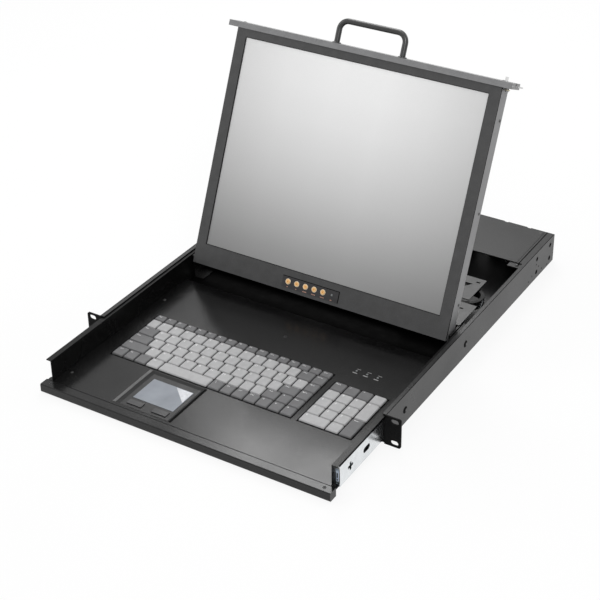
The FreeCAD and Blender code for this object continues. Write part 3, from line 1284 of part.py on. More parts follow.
doc.recompute()
for item in doc.Objects:
    if "Invalid" in item.State or "Error" in item.State:
        raise RuntimeError(f"{item.Name} ({item.Label}) failed: {item.State}")
for piece in nodes:
    shape = piece.Shape
    if shape.isNull() or not shape.isValid() or not shape.Solids:
        raise RuntimeError(f"{piece.Label} has no valid solid")
    shape.exportStep(f"parts/{piece.Label}.step")
print(len(nodes), "nodes written")
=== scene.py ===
import bpy
import bmesh
import json
import math
from mathutils import Matrix, Vector


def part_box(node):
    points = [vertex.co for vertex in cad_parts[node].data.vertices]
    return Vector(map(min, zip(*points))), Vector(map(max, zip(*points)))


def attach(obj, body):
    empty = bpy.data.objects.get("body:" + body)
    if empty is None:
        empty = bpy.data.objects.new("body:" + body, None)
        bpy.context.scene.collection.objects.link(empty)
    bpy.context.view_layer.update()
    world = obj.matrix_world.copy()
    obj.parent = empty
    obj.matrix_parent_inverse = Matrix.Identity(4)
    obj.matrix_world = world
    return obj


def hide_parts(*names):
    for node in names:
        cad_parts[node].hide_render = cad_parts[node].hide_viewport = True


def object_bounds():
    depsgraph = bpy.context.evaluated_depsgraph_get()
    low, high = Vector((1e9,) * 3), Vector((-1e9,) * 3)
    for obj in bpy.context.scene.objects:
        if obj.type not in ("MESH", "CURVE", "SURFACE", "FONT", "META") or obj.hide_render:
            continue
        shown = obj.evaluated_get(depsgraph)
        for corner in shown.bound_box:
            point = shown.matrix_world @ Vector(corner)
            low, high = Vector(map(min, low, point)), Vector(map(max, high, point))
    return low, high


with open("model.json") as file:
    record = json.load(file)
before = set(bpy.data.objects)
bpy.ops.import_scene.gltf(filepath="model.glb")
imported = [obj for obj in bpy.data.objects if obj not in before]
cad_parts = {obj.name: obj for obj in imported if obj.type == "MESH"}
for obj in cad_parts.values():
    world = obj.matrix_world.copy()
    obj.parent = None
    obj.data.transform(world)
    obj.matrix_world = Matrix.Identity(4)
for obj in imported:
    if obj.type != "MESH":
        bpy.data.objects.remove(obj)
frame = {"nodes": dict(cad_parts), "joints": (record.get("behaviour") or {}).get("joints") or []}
cad_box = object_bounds()
NODES = frame["nodes"]
MM = 0.001


# ------------------------------------------------------------------ camera
def aim(thing, place, target):
    """Puts a camera or a light at a place and points it at a target."""
    thing.location = place
    thing.rotation_mode = "QUATERNION"
    thing.rotation_quaternion = (Vector(target) - Vector(place)).to_track_quat("-Z", "Y")


AZIMUTH = math.radians(30.36)
ELEVATION = math.radians(30.24)
DISTANCE = 2013.3 * MM
TARGET = Vector((38.02, 200.0, 108.27)) * MM
camera_data = bpy.data.cameras.new("camera")
camera_data.lens = 89.964
camera_data.shift_x = -0.0667
camera_data.shift_y = -0.0917
camera_data.sensor_width = 36.0
camera_data.clip_start = 0.05
camera = bpy.data.objects.new("camera", camera_data)
bpy.context.scene.collection.objects.link(camera)
bpy.context.scene.camera = camera
towards = Vector((math.sin(AZIMUTH) * math.cos(ELEVATION),
                  -math.cos(AZIMUTH) * math.cos(ELEVATION), math.sin(ELEVATION)))
aim(camera, TARGET + DISTANCE * towards, TARGET)


# ------------------------------------------------------------------ materials
def linear(level):
    """The linear value of an sRGB grey from 0 to 255."""
    value = level / 255
    return value / 12.92 if value <= 0.04045 else ((value + 0.055) / 1.055) ** 2.4


def grey(level, tint=(1, 1, 1)):
    """An sRGB grey from 0 to 255 as a linear colour, times a tint."""
    return tuple(linear(level) * t for t in tint) + (1,)


class Surface:
    """A material and short ways to add nodes to it."""

    def __init__(self, name):
        self.material = bpy.data.materials.new(name)
        self.material.use_nodes = True
        self.nodes = self.material.node_tree.nodes
        self.links = self.material.node_tree.links
        self.shader = self.nodes["Principled BSDF"]
        self.place = self.nodes.new("ShaderNodeTexCoord").outputs["Object"]

    def set(self, name, value):
        """Sets a constant on the shader."""
        self.shader.inputs[name].default_value = value

    def noise(self, scale, detail=3.0, stretch=(1, 1, 1)):
        """Noise with features of about 1 / scale metres."""
        mapping = self.nodes.new("ShaderNodeMapping")
        mapping.inputs["Scale"].default_value = stretch
        self.links.new(self.place, mapping.inputs["Vector"])
        noise = self.nodes.new("ShaderNodeTexNoise")
        noise.inputs["Scale"].default_value = scale
        noise.inputs["Detail"].default_value = detail
        self.links.new(mapping.outputs["Vector"], noise.inputs["Vector"])
        return noise.outputs["Fac"]

    def ramp(self, value, stops):
        """Colours at places from 0 to 1."""
        node = self.nodes.new("ShaderNodeValToRGB")
        elements = node.color_ramp.elements
        elements[0].position, elements[0].color = stops[0]
        elements[1].position, elements[1].color = stops[-1]
        for position, colour in stops[1:-1]:
            elements.new(position).color = colour
        self.links.new(value, node.inputs["Fac"])
        return node.outputs["Color"]

    def spread(self, value, low, high, start=0.3, end=0.7):
        """Maps start..end of a value to low..high."""
        node = self.nodes.new("ShaderNodeMapRange")
        for name, number in (("From Min", start), ("From Max", end),
                             ("To Min", low), ("To Max", high)):
            node.inputs[name].default_value = number
        self.links.new(value, node.inputs["Value"])
        return node.outputs["Result"]

    def blended(self, kind, a, b, share=1.0):
        """Two colours put together the way kind says."""
        node = self.nodes.new("ShaderNodeMix")
        node.data_type = "RGBA"
        node.blend_type = kind
        node.inputs[0].default_value = share
        self.links.new(a, node.inputs[6])
        self.links.new(b, node.inputs[7])
        return node.outputs[2]

    def feed(self, name, value):
        """Links a value to the shader."""
        self.links.new(value, self.shader.inputs[name])

    def bump(self, height, strength, distance=0.0002):
        """Raises the surface by a height map, by at most the distance in metres."""
        node = self.nodes.new("ShaderNodeBump")
        node.inputs["Strength"].default_value = strength
        node.inputs["Distance"].default_value = distance
        self.links.new(height, node.inputs["Height"])
        self.links.new(node.outputs["Normal"], self.shader.inputs["Normal"])


COAT_TINT = (1, 1, 1.02)


def painted(name, level, rough, spread=0.12, specular=0.5, grain=1400, strength=0.18):
    """Powder-coated steel: a fine orange-peel grain, faint mottling and rubbed patches."""
    s = Surface(name)
    broad = s.noise(9, 4)
    fine = s.noise(grain, 2)
    base = s.ramp(s.noise(70, 5), [(0.3, grey(level * (1 - spread), COAT_TINT)),
                                   (0.7, grey(level * (1 + spread), COAT_TINT))])
    flecks = s.ramp(s.noise(grain * 0.6, 1), [(0.60, (0, 0, 0, 1)), (0.72, (0.05, 0.05, 0.05, 1))])
    s.feed("Base Color", s.blended("ADD", base, flecks, 0.35))
    s.feed("Roughness", s.spread(broad, rough - 0.05, rough + 0.07))
    s.set("Specular IOR Level", specular)
    s.bump(fine, strength)
    return s.material


def metal(name, level, rough, along=(1, 1, 1), tint=(1, 1, 1), strength=0.1):
    """Plated steel: long brushing lines, cloudy plating and small scuffs."""
    s = Surface(name)
    lines = s.noise(900, 3, along)
    cloud = s.noise(45, 4)
    s.feed("Base Color", s.ramp(cloud, [(0.3, grey(level * 0.95, tint)),
                                        (0.75, grey(min(255, level * 1.03), tint))]))
    s.feed("Roughness", s.spread(s.noise(160, 3), rough * 0.9, rough * 1.12))
    s.set("Metallic", 1.0)
    s.bump(lines, strength, 0.0001)
    return s.material


def plastic(name, level, rough, tint=(1, 1, 1), specular=0.5, grain=1800, strength=0.12,
            spread=0.06):
    """Moulded plastic: a fine spark-eroded grain, slight shade changes and polished spots."""
    s = Surface(name)
    dark, light = grey(level * (1 - spread), tint), grey(min(255, level * (1 + spread)), tint)
    s.feed("Base Color", s.ramp(s.noise(110, 4), [(0.3, dark), (0.7, light)]))
    s.feed("Roughness", s.spread(s.noise(60, 3), rough - 0.06, rough + 0.08))
    s.set("Specular IOR Level", specular)
    s.bump(s.noise(grain, 2), strength)
    return s.material


# name, sRGB level and roughness, then what differs from the usual paint, metal or plastic
HOUSING = painted("housing_paint", 24, 0.30, specular=0.36)
TRAY = painted("tray_paint", 10, 0.26, specular=0.16)
DECK = painted("deck_paint", 12, 0.20, specular=0.34, grain=1100, strength=0.2)
COVER = painted("cover_paint", 14, 0.28, specular=0.4)
CASE = painted("display_paint", 116, 0.42, spread=0.025, specular=0.8, grain=1600, strength=0.12)
BEZEL = painted("bezel_paint", 46, 0.44, specular=0.6, grain=1600, strength=0.12)
BAR = painted("bar_paint", 116, 0.26, spread=0.05, specular=0.8)
HANDLE = painted("handle_paint", 12, 0.30, specular=0.7, grain=1600, strength=0.1)
EAR = painted("ear_paint", 8, 0.40, specular=0.05)
# a light grey for the bevelled edges of dark paint, a painted highlight
EDGE_HIGHLIGHT = painted("painted_edge_highlight", 150, 0.30, specular=0.8)
# near black, the painted shade of the display's underside and of the tray floor beneath it
PAINTED_UNDER_SHADE = plastic("underside_painted_shade", 5, 0.6, specular=0.02)
ZINC = metal("zinc", 229, 0.24, (0.05, 0.008, 1), (0.97, 1.0, 1.02), strength=0.05)
BRIGHT = metal("bright_steel", 215, 0.22)
DARK_METAL = metal("dark_steel", 90, 0.38)
GOLD_PIN = metal("contact_gold", 215, 0.3, tint=(1.0, 0.82, 0.45))
BRASS = metal("brass", 200, 0.3, tint=(1.0, 0.92, 0.66))
SHELF = metal("shelf_steel", 76, 0.40, (0.05, 0.02, 1), strength=0.05)
GOLD = plastic("button_gold", 246, 0.38, (1.0, 0.60, 0.24))
CREAM = plastic("button_rim", 250, 0.42, (1.0, 0.84, 0.62))
PANEL = plastic("panel_film", 52, 0.45, (1.0, 0.97, 1.02), specular=0.3, strength=0.3)
BLACK = plastic("black_plastic", 24, 0.42, strength=0.2)
GLOSS = plastic("gloss_black", 12, 0.2, strength=0.05)
PAD_FRAME = plastic("pad_frame", 22, 0.36, (1, 1, 1.03), specular=0.35, strength=0.1)
JACKET = plastic("cable_jacket", 14, 0.3, specular=0.12, strength=0.1)
# a lighter grey for the touchpad frame's left side, a painted highlight
PAD_SIDE_HIGHLIGHT = plastic("pad_side_painted_highlight", 84, 0.4, strength=0.1)
STOP = plastic("slide_stop", 205, 0.4, (0.82, 0.94, 1.1))
# a darker grey for the keycaps' feet and stems, painted shade between the keys
KEY_SHADE_PLASTIC = plastic("key_foot_painted_shade", 62, 0.6, specular=0.2)
CLICK = plastic("click_plastic", 44, 0.45, (1, 1, 1.05), strength=0.2)
KEY_PLASTIC = dict(specular=0.2, grain=2200, strength=0.2, spread=0.025)
LIGHT_KEY = plastic("light_key", 174, 0.5, (1, 1, 1.01), **KEY_PLASTIC)
DARK_KEY = plastic("dark_key", 110, 0.5, (1, 1, 1.02), **KEY_PLASTIC)
WELL = plastic("key_well", 10, 0.6)
PRINT = plastic("print_white", 226, 0.5, specular=0.3)
PRINT_DIM = plastic("print_grey", 150, 0.5, specular=0.3)
PRINT_ORANGE = plastic("print_orange", 178, 0.5, (1.0, 0.55, 0.42), specular=0.3)
# near black, for real dark joints and for painted shade in holes, recesses and along edges
JOINT_AND_SHADE_BLACK = plastic("black_of_joints_and_painted_shade", 3, 0.8, specular=0.1)
ORANGE = plastic("button_mark", 222, 0.4, (1.0, 0.36, 0.08))
BLUE = plastic("component_blue", 120, 0.4, (0.15, 0.5, 1.2))
YELLOW = plastic("component_yellow", 190, 0.45, (1.0, 0.8, 0.2))
LED = plastic("led_lens", 128, 0.25, (0.95, 1.0, 1.0))
LED_WHITE = plastic("led_clear", 205, 0.25, (0.96, 0.98, 1.03))


def board_material():
    """A circuit board: green mask with tracks and pads."""
    s = Surface("circuit_board")
    tracks = s.nodes.new("ShaderNodeTexBrick")
    tracks.inputs["Scale"].default_value = 180
    tracks.inputs["Mortar Size"].default_value = 0.035
    tracks.inputs["Color1"].default_value = (0.012, 0.085, 0.035, 1)
    tracks.inputs["Color2"].default_value = (0.018, 0.11, 0.045, 1)
    tracks.inputs["Mortar"].default_value = (0.06, 0.22, 0.08, 1)
    s.links.new(s.place, tracks.inputs["Vector"])
    s.feed("Base Color", tracks.outputs["Color"])
    s.feed("Roughness", s.spread(s.noise(300, 3), 0.25, 0.45))
    s.bump(s.noise(700, 2), 0.2)
    return s.material


SCREEN_LEVEL = 1.05
SCREEN_SIDES = (-0.188, 0.188)    # the visible panel's sides, in metres
SCREEN_SHEEN_RISE = (0.035, 0.315)      # heights between which the painted reflection makes the panel lighter, in metres


def screen_material():
    """A matt grey panel with a painted reflection of the studio light, lighter up its face and
    darker at both sides, with a fine pixel grain.
    """
    s = Surface("screen")
    parts = s.nodes.new("ShaderNodeSeparateXYZ")
    s.links.new(s.place, parts.inputs[0])
    rise = s.spread(parts.outputs["Z"], 0.0, 1.0, *SCREEN_SHEEN_RISE)
    side = s.spread(parts.outputs["X"], 0.0, 1.0, *SCREEN_SIDES)
    up = s.ramp(rise, [(place, grey(SCREEN_LEVEL * level)) for place, level in
                       ((0.0, 146), (0.1, 157), (0.25, 178), (0.4, 197), (0.55, 211), (0.7, 222),
                        (0.85, 229), (1.0, 232))])
    across = s.ramp(side, [(place, (share, share, share, 1)) for place, share in
                           ((0.0, 0.80), (0.2, 0.94), (0.4, 1.0), (0.6, 1.0), (0.8, 0.89),
                            (1.0, 0.72))])
    base = s.blended("MULTIPLY", up, across)
    grain = s.ramp(s.noise(2600, 1), [(0.35, (0.96, 0.96, 0.96, 1)), (0.65, (1, 1, 1, 1))])
    s.feed("Base Color", s.blended("MULTIPLY", base, grain))
    s.feed("Roughness", s.spread(s.noise(30, 2), 0.42, 0.5))
    s.set("Specular IOR Level", 0.25)
    return s.material


def pad_material():
    """The touchpad's smooth film, bluish grey with fine specks."""
    s = Surface("pad_film")
    s.feed("Base Color", s.ramp(s.noise(35, 3), [(0.3, grey(136, (0.9, 0.97, 1.08))),
                                                 (0.7, grey(150, (0.9, 0.97, 1.08)))]))
    s.feed("Roughness", s.spread(s.noise(400, 2), 0.34, 0.46))
    s.set("Specular IOR Level", 0.2)
    s.bump(s.noise(2400, 2), 0.08)
    return s.material


CIRCUIT = board_material()
SCREEN = screen_material()
PAD = pad_material()

FINISH = {
    "housing_shell": HOUSING, "rear_cover": COVER, "rear_panel": HOUSING, "left_ear": EAR,
    "right_ear": EAR, "power_inlet": BLACK, "power_rocker": BLACK, "dvi_connector": BRIGHT,
    "usb_connector": BRIGHT, "connector_screws": BRIGHT, "power_supply": CIRCUIT,
    "controller_board": CIRCUIT, "drawer_tray": TRAY, "front_bezel": DECK, "keyboard_deck": DECK,
    "status_lights": LED, "keyboard_base": WELL, "keypad_base": WELL,
    "touchpad_frame": PAD_FRAME, "touchpad_surface": PAD, "left_click_button": CLICK,
    "right_click_button": CLICK, "left_hinge": TRAY, "right_hinge": TRAY,
    "cable_shelf": SHELF, "cable_clamps": BLACK, "loop_cable": JACKET, "display_case": CASE,
    "display_bezel": BEZEL, "lcd_panel": SCREEN, "display_driver_board": CIRCUIT, "top_bar": BAR,
    "bail_handle": HANDLE, "button_panel": PANEL, "monitor_light": LED, "button_board": CIRCUIT,
    "hinge_knuckles": ZINC, "latch_bolt": BRIGHT, "outer_ball_cages": BRIGHT,
    "inner_ball_cages": BRIGHT,
}
for node, piece in NODES.items():
    finish = FINISH.get(node)
    if finish is None:
        finish = ZINC if node.endswith("_rail") else GOLD if "button" in node else LIGHT_KEY
    piece.data.materials.clear()
    piece.data.materials.append(finish)

# folded and moulded edges are slightly rounded, by a radius in millimetres
ROUNDED_ANGLE = math.radians(40)
ROUNDED = {
    "housing_shell": 0.5, "rear_cover": 0.3, "left_ear": 0.5, "right_ear": 0.5, "drawer_tray": 0.45,
    "front_bezel": 1.1, "keyboard_deck": 0.3, "touchpad_frame": 0.8, "touchpad_surface": 0.3,
    "left_click_button": 0.5, "right_click_button": 0.5, "display_case": 1.0, "display_bezel": 0.35,
    "top_bar": 0.8, "cable_shelf": 0.3, "button_panel": 0.2, "latch_bolt": 0.4, "loop_cable": 0.8,
    "power_inlet": 0.4, "power_rocker": 0.4, "power_supply": 0.3, "left_middle_rail": 0.35,
    "right_middle_rail": 0.35,
}
# painted pieces whose bevelled edges get a much lighter paint, a painted highlight along them
BRIGHT_EDGED = ("housing_shell", "rear_cover", "left_ear", "right_ear", "drawer_tray",
                "keyboard_deck", "front_bezel", "display_bezel", "top_bar")
EDGE_SLOT = 1
for node, radius in ROUNDED.items():
    rounding = NODES[node].modifiers.new("edge", "BEVEL")
    rounding.width = radius * MM
    rounding.segments = 2
    rounding.limit_method = "ANGLE"
    rounding.angle_limit = ROUNDED_ANGLE
    rounding.use_clamp_overlap = True
    if node in BRIGHT_EDGED:
        NODES[node].data.materials.append(EDGE_HIGHLIGHT)
        rounding.material = EDGE_SLOT


# ------------------------------------------------------------------ mesh helpers
SHARP_ANGLE = math.radians(38)
SKY, REAR = Vector((0, 0, 1)), Vector((0, 1, 0))


def corners(node):
    """The low and the high corner of a CAD node's box, in millimetres."""
    return [Vector(corner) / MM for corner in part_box(node)]


def at(x, y, z):
    """A place in metres from millimetres."""
    return Vector((x, y, z)) * MM


def finish_mesh(name, bm, materials, body, smooth=True, stands_for=()):
    """Makes a bmesh into a piece of the scene that rides on a body."""
    bmesh.ops.recalc_face_normals(bm, faces=bm.faces)
    mesh = bpy.data.meshes.new(name)
    bm.to_mesh(mesh)
    bm.free()
    for material in materials:
        mesh.materials.append(material)
    thing = bpy.data.objects.new(name, mesh)
    bpy.context.scene.collection.objects.link(thing)
    if smooth:
        mesh.shade_smooth()
        mesh.set_sharp_from_angle(angle=SHARP_ANGLE)
    if stands_for:
        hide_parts(*stands_for)
    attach(thing, body)
    return thing


def ring_faces(bm, rings, material=0, closed=True):
    """Skins a list of equal rings of vertices and caps both ends."""
    count = len(rings[0])
    for low, high in zip(rings, rings[1:]):
        for i in range(count):
            j = (i + 1) % count
            face = bm.faces.new((low[i], low[j], high[j], high[i]))
            face.material_index = material
    if closed:
        for ring in (rings[0], rings[-1]):
            bm.faces.new(ring).material_index = material


def lathe(bm, profile, place, axis, steps=24, material=0, hollow=False):
    """Revolves (radius, height) points about an axis through a place."""
    turn = SKY.rotation_difference(Vector(axis)).to_matrix()
    rings = []
    for radius, height in profile:
        ring = []
        for i in range(steps):
            a = 2 * math.pi * i / steps
            point = turn @ Vector((radius * math.cos(a), radius * math.sin(a), height))
            ring.append(bm.verts.new(Vector(place) + point * MM))
        rings.append(ring)
    ring_faces(bm, rings + rings[:1] if hollow else rings, material, not hollow)


def slab(bm, low, high, edge=0.3, material=0, pose=None):
    """A block with bevelled edges between two corners in millimetres, moved by a pose if given."""
    made = bmesh.ops.create_cube(bm, size=1.0)["verts"]
    low, high = Vector(low), Vector(high)
    size, middle = high - low, (high + low) / 2
    for v in made:
        v.co = Vector((v.co.x * size.x, v.co.y * size.y, v.co.z * size.z)) + middle
    edges = {e for v in made for e in v.link_edges}
    result = bmesh.ops.bevel(bm, geom=list(edges), offset=min(edge, min(size) * 0.45), segments=2,
                             affect="EDGES", profile=0.5)
    verts = {v for f in result["faces"] for v in f.verts} | {v for v in made if v.is_valid}
    faces = {f for v in verts for f in v.link_faces}
    for f in faces:
        f.material_index = material
    for v in verts:
        v.co = (pose @ v.co if pose else v.co) * MM


def mirrored_slab(bm, sign, low, high, edge=0.3, material=0, pose=None):
    """A slab given for the right side, on the side that the sign says."""
    left, right = sorted((sign * low[0], sign * high[0]))
    slab(bm, (left, *low[1:]), (right, *high[1:]), edge, material, pose)


CORNER_STEPS = 4


def rounded_ring(bm, x, y, z, radius):
    """Vertices round a rectangle with rounded corners."""
    ring = []
    centres = ((x[1] - radius, y[1] - radius), (x[0] + radius, y[1] - radius),
               (x[0] + radius, y[0] + radius), (x[1] - radius, y[0] + radius))
    for quarter, (cx, cy) in enumerate(centres):
        for i in range(CORNER_STEPS + 1):
            a = math.radians(90 * quarter + 90 * i / CORNER_STEPS)
            ring.append(bm.verts.new(at(cx + radius * math.cos(a), cy + radius * math.sin(a), z)))
    return ring


def screw(bm, place, axis, r, h):
    """A domed screw head of radius r and height h with a raised black cross, its mesh's second
    material, painted as the shade in the cross recess.
    """
    lathe(bm, [(r * 0.92, -0.2), (r, 0.0), (r * 0.97, h * 0.4), (r * 0.72, h * 0.86), (r * 0.35, h),
               (r * 0.02, h)], place, axis, 20)
    axis = Vector(axis).normalized()
    turn = SKY.rotation_difference(axis).to_matrix().to_4x4()
    lift = Matrix.Translation(Vector(place) / MM) @ turn
    for long, wide in ((0.5, 0.11), (0.11, 0.5)):
        slab(bm, (-r * long, -r * wide, h * 0.7), (r * long, r * wide, h * 1.03), 0.05, 1, lift)


def islands(node):
    """The vertices of each separate solid in a CAD node, in millimetres."""
    bm = bmesh.new()
    bm.from_mesh(NODES[node].data)
    bmesh.ops.remove_doubles(bm, verts=bm.verts, dist=1e-6)
    seen, found = set(), []
    for start in bm.verts:
        if start in seen:
            continue
        stack, group = [start], []
        seen.add(start)
        while stack:
            v = stack.pop()
            group.append(v.co / MM)
            for e in v.link_edges:
                other = e.other_vert(v)
                if other not in seen:
                    seen.add(other)
                    stack.append(other)
        found.append(group)
    bm.free()
    return found


# ------------------------------------------------------------------ keys
LEGENDS = {
    "function": ["Esc"] + [f"F{i}" for i in range(1, 13)] + ["Scr", "Prt", "Ins", "Del"],
    "number": list("`1234567890-=") + ["Bksp", "Home", "Num", "/", "*", "-"],
    "upper": ["Tab"] + list("QWERTYUIOP[]\\") + ["PgUp", "7", "8", "9"],
    "home": ["Caps"] + list("ASDFGHJKL;'") + ["Enter", "PgDn", "4", "5", "6", "+"],
    "lower": ["Shift"] + list("ZXCVBNM,./") + ["Shift", "^", "End", "1", "2", "3"],
    "space": ["Ctrl", "Fn", "", "Alt", "", "\\", "Alt", "Ctrl", "Del", "<", "v", ">", "0", ".",
              "Enter"],
}
# which keys of a row of n are the darker ones
DARK = {
    "function": lambda i, n: True,
    "number": lambda i, n: n - 6 <= i < n - 1,
    "upper": lambda i, n: i == 0 or i == n - 4,
    "home": lambda i, n: i == 0 or i in (n - 5, n - 6),
    "lower": lambda i, n: i == 0 or i in (n - 4, n - 5, n - 6),
    "space": lambda i, n: (i < 12 and i not in (3, 4)) or i == n - 1,
}


KEY_SHADE_SLOT = 2    # the material slot of a keycap's foot and stem, a darker grey painted as the shade low between the keys
# share of the way from the foot's outline to the top's, share of the height, corner radius
KEY_RINGS = ((0.24, 0, 0.8), (0.3, 0.3, 0.9), (0.74, 0.78, 1.2), (0.9, 0.93, 1.4),
             (1.15, 0.995, 1.5), (1.75, 0.985, 1.6))
HOLLOW_SHARE, HOLLOW_DEPTH = 0.55, 0.10


def keycap(bm, x, y, skirt, top, inner_x, inner_y, material):
    """A dished keycap: a foot, leaning sides, a rounded shoulder and a shallow hollow on top."""
    def between(outer, inner, share):
        return tuple(a + (b - a) * share for a, b in zip(outer, inner))

    high = top - skirt
    rings = [rounded_ring(bm, between(x, inner_x, share), between(y, inner_y, share),
                          skirt + high * level, radius) for share, level, radius in KEY_RINGS]
    ring_faces(bm, rings[:2], KEY_SHADE_SLOT, closed=False)
    ring_faces(bm, rings[1:], material, closed=False)
    bm.faces.new(rings[0]).material_index = KEY_SHADE_SLOT
    middle = Vector((sum(x) / 2, sum(y) / 2, 0))
    hollow = []
    for v in rings[-1]:
        place = middle + (v.co / MM - middle) * HOLLOW_SHARE
        hollow.append(bm.verts.new(at(place.x, place.y, top - high * HOLLOW_DEPTH)))
    ring_faces(bm, [rings[-1], hollow], material, closed=False)
    bm.faces.new(hollow).material_index = material


def words(name, entries, material, body, extrude=0.04):
    """Flat lettering as one mesh: (text, size, matrix in millimetres)."""
    whole = bmesh.new()
    for text, size, matrix in entries:
        curve = bpy.data.curves.new("letters", "FONT")
        curve.body = text
        curve.size = size
        curve.extrude = extrude
        curve.resolution_u = 2
        curve.align_x = "CENTER"
        curve.align_y = "CENTER"
        holder = bpy.data.objects.new("letters", curve)
        mesh = bpy.data.meshes.new_from_object(holder)
        mesh.transform(Matrix.Scale(MM, 4) @ matrix)
        whole.from_mesh(mesh)
        bpy.data.objects.remove(holder)
        bpy.data.curves.remove(curve)
        bpy.data.meshes.remove(mesh)
    bmesh.ops.remove_doubles(whole, verts=whole.verts, dist=2e-7)
    return finish_mesh(name, whole, [material], body, smooth=False)


# each keycap is drawn over its CAD key, whose stem, skirt and top give the cap's size
NEAR = 0.05    # how close a vertex's height is to the level that it belongs to
for row, legends in LEGENDS.items():
    node = f"{row}_row_keys"
    keys = []
    for points in islands(node):
        levels = sorted({round(p.z, 2) for p in points})
        skirt, top = levels[1], levels[-1]
        stem, base, crown = ([p for p in points if abs(p.z - level) < NEAR]
                             for level in (levels[0], skirt, top))
        span = [(min(p[k] for p in group), max(p[k] for p in group))
                for group in (base, crown, stem) for k in (0, 1)]
        keys.append((span, skirt, top, levels[0]))
    keys.sort(key=lambda k: (k[0][0][0], k[0][1][0]))
    bm = bmesh.new()
    texts = []
    for i, (span, skirt, top, foot) in enumerate(keys):
        x, y, inner_x, inner_y, stem_x, stem_y = span
        keycap(bm, x, y, skirt, top, inner_x, inner_y, int(DARK[row](i, len(keys))))
        # the stem below the cap, in the same painted shade
        slab(bm, (stem_x[0], stem_y[0], foot), (stem_x[1], stem_y[1], skirt + 0.6), 0.2, KEY_SHADE_SLOT)
        text = legends[i] if i < len(legends) else ""
        if text:
            # in the cap's rear left corner, and smaller the more letters there are
            size = 5.4 if len(text) == 1 else 3.6 if len(text) < 4 else 3.1
            reach = 4.2 if len(text) == 1 else 2.0 + 0.6 * len(text) * size / 2
            spot = Vector((inner_x[0] + reach - 0.6, inner_y[1] - 3.0, top - 0.02))
            texts.append((text, size, Matrix.Translation(spot)))
    finish_mesh(f"{row}_keycaps", bm, [LIGHT_KEY, DARK_KEY, KEY_SHADE_PLASTIC], f"{row}_row",
                stands_for=[node])
    words(f"{row}_legends", texts, PRINT, f"{row}_row", 0.03)

# ------------------------------------------------------------------ display
LEAN = math.radians(23.5)    # at rest, back from upright
hinge = next(j for j in frame["joints"] if j["name"] == "display_hinge")
HINGE = Vector(hinge["pos_m"]) / MM
# the display's own frame: the hinge is its origin, Y its depth and Z its height, in millimetres
UPRIGHT = Matrix.Translation(HINGE) @ Matrix.Rotation(-LEAN, 4, "X")
FACE, CASE_BACK = -17.0, 7.0
CASE_SIDE = corners("display_case")[1].x
BAR_LOW, BAR_HIGH, BAR_MIDDLE = 334.0, 342.0, -6.25
SCREEN_X, SCREEN_LOW, SCREEN_HIGH = 188.15, 22.0, 323.1


def upright(x, y, z):
    """A place in metres from millimetres in the display's own frame."""
    return (UPRIGHT @ Vector((x, y, z))) * MM


OUT = (UPRIGHT.to_3x3() @ -REAR).normalized()
UP = (UPRIGHT.to_3x3() @ SKY).normalized()

# the display's underside and the tray's floor below it are near black and matt, a painted shade
# under the display
ABOVE_FLOOR = corners("drawer_tray")[0].z + 1.7
for node, facing, ceiling in (("display_case", -UP, math.inf), ("display_bezel", -UP, math.inf),
                              ("drawer_tray", SKY, ABOVE_FLOOR)):
    mesh = NODES[node].data
    mesh.materials.append(PAINTED_UNDER_SHADE)
    for face in mesh.polygons:
        if face.normal.dot(facing) > 0.7 and face.center.z < ceiling * MM:
            face.material_index = len(mesh.materials) - 1

# the bail handle is one bent rod in two flanged feet
bm = bmesh.new()
HALF, REACH, BEND, ROD = 50.8, 32.0, 13.0, 4.0
BEND_STEPS, ROD_SIDES = 12, 20
route = [(-HALF, 0.0)]
for sign, start in ((-1, 180), (1, 90)):
    for i in range(BEND_STEPS + 1):
        a = math.radians(start - 90 * i / BEND_STEPS)
        route.append((sign * (HALF - BEND) + BEND * math.cos(a), REACH - BEND + BEND * math.sin(a)))
route.append((HALF, 0.0))
rings = []
for index, (x, z) in enumerate(route):
    before = route[max(index - 1, 0)]
    after = route[min(index + 1, len(route) - 1)]
    along = Vector((after[0] - before[0], 0, after[1] - before[1])).normalized()
    across = along.cross(REAR)
    ring = []
    for k in range(ROD_SIDES):
        a = 2 * math.pi * k / ROD_SIDES
        spoke = REAR * math.cos(a) + across * math.sin(a)
        ring.append(bm.verts.new(upright(*(Vector((x, BAR_MIDDLE, BAR_HIGH + z)) + spoke * ROD))))
    rings.append(ring)
ring_faces(bm, rings)
for sign in (-1, 1):
    lathe(bm, [(6.2, 0.0), (6.2, 0.7), (5.7, 1.2), (4.4, 1.5), (4.1, 1.5)],
          upright(sign * HALF, BAR_MIDDLE, BAR_HIGH), UP, 28)
finish_mesh("bail_rod", bm, [HANDLE], "display", stands_for=["bail_handle"])

# rims, caps and marks of the five display buttons
FIRST_BUTTON, BUTTON_PITCH, LIGHT_X = -44.7, 14.1, 25.7
BUTTON_X = [FIRST_BUTTON + BUTTON_PITCH * i for i in range(5)]
CONTROL_Z = 5.8
PLATE = FACE - 0.6
CAP_FRONT, CAP_FOOT = PLATE - 1.0, FACE + 2.5
bm = bmesh.new()
for x in BUTTON_X:
    lathe(bm, [(3.3, -0.05), (4.0, -0.05), (4.05, 0.2), (3.85, 0.45), (3.5, 0.46), (3.3, 0.3)],
          upright(x, PLATE, CONTROL_Z), OUT, 28, hollow=True)
finish_mesh("button_rims", bm, [CREAM], "display")
for number, x in enumerate(BUTTON_X, start=1):
    bm = bmesh.new()
    lathe(bm, [(3.15, CAP_FRONT - CAP_FOOT), (3.15, -0.45), (2.9, -0.12), (2.3, -0.02), (1.9, -0.1),
               (0.05, -0.22)], upright(x, CAP_FRONT, CONTROL_Z), OUT, 28)
    finish_mesh(f"button_cap_{number}", bm, [GOLD], f"monitor_{number}",
                stands_for=[f"monitor_button_{number}"])
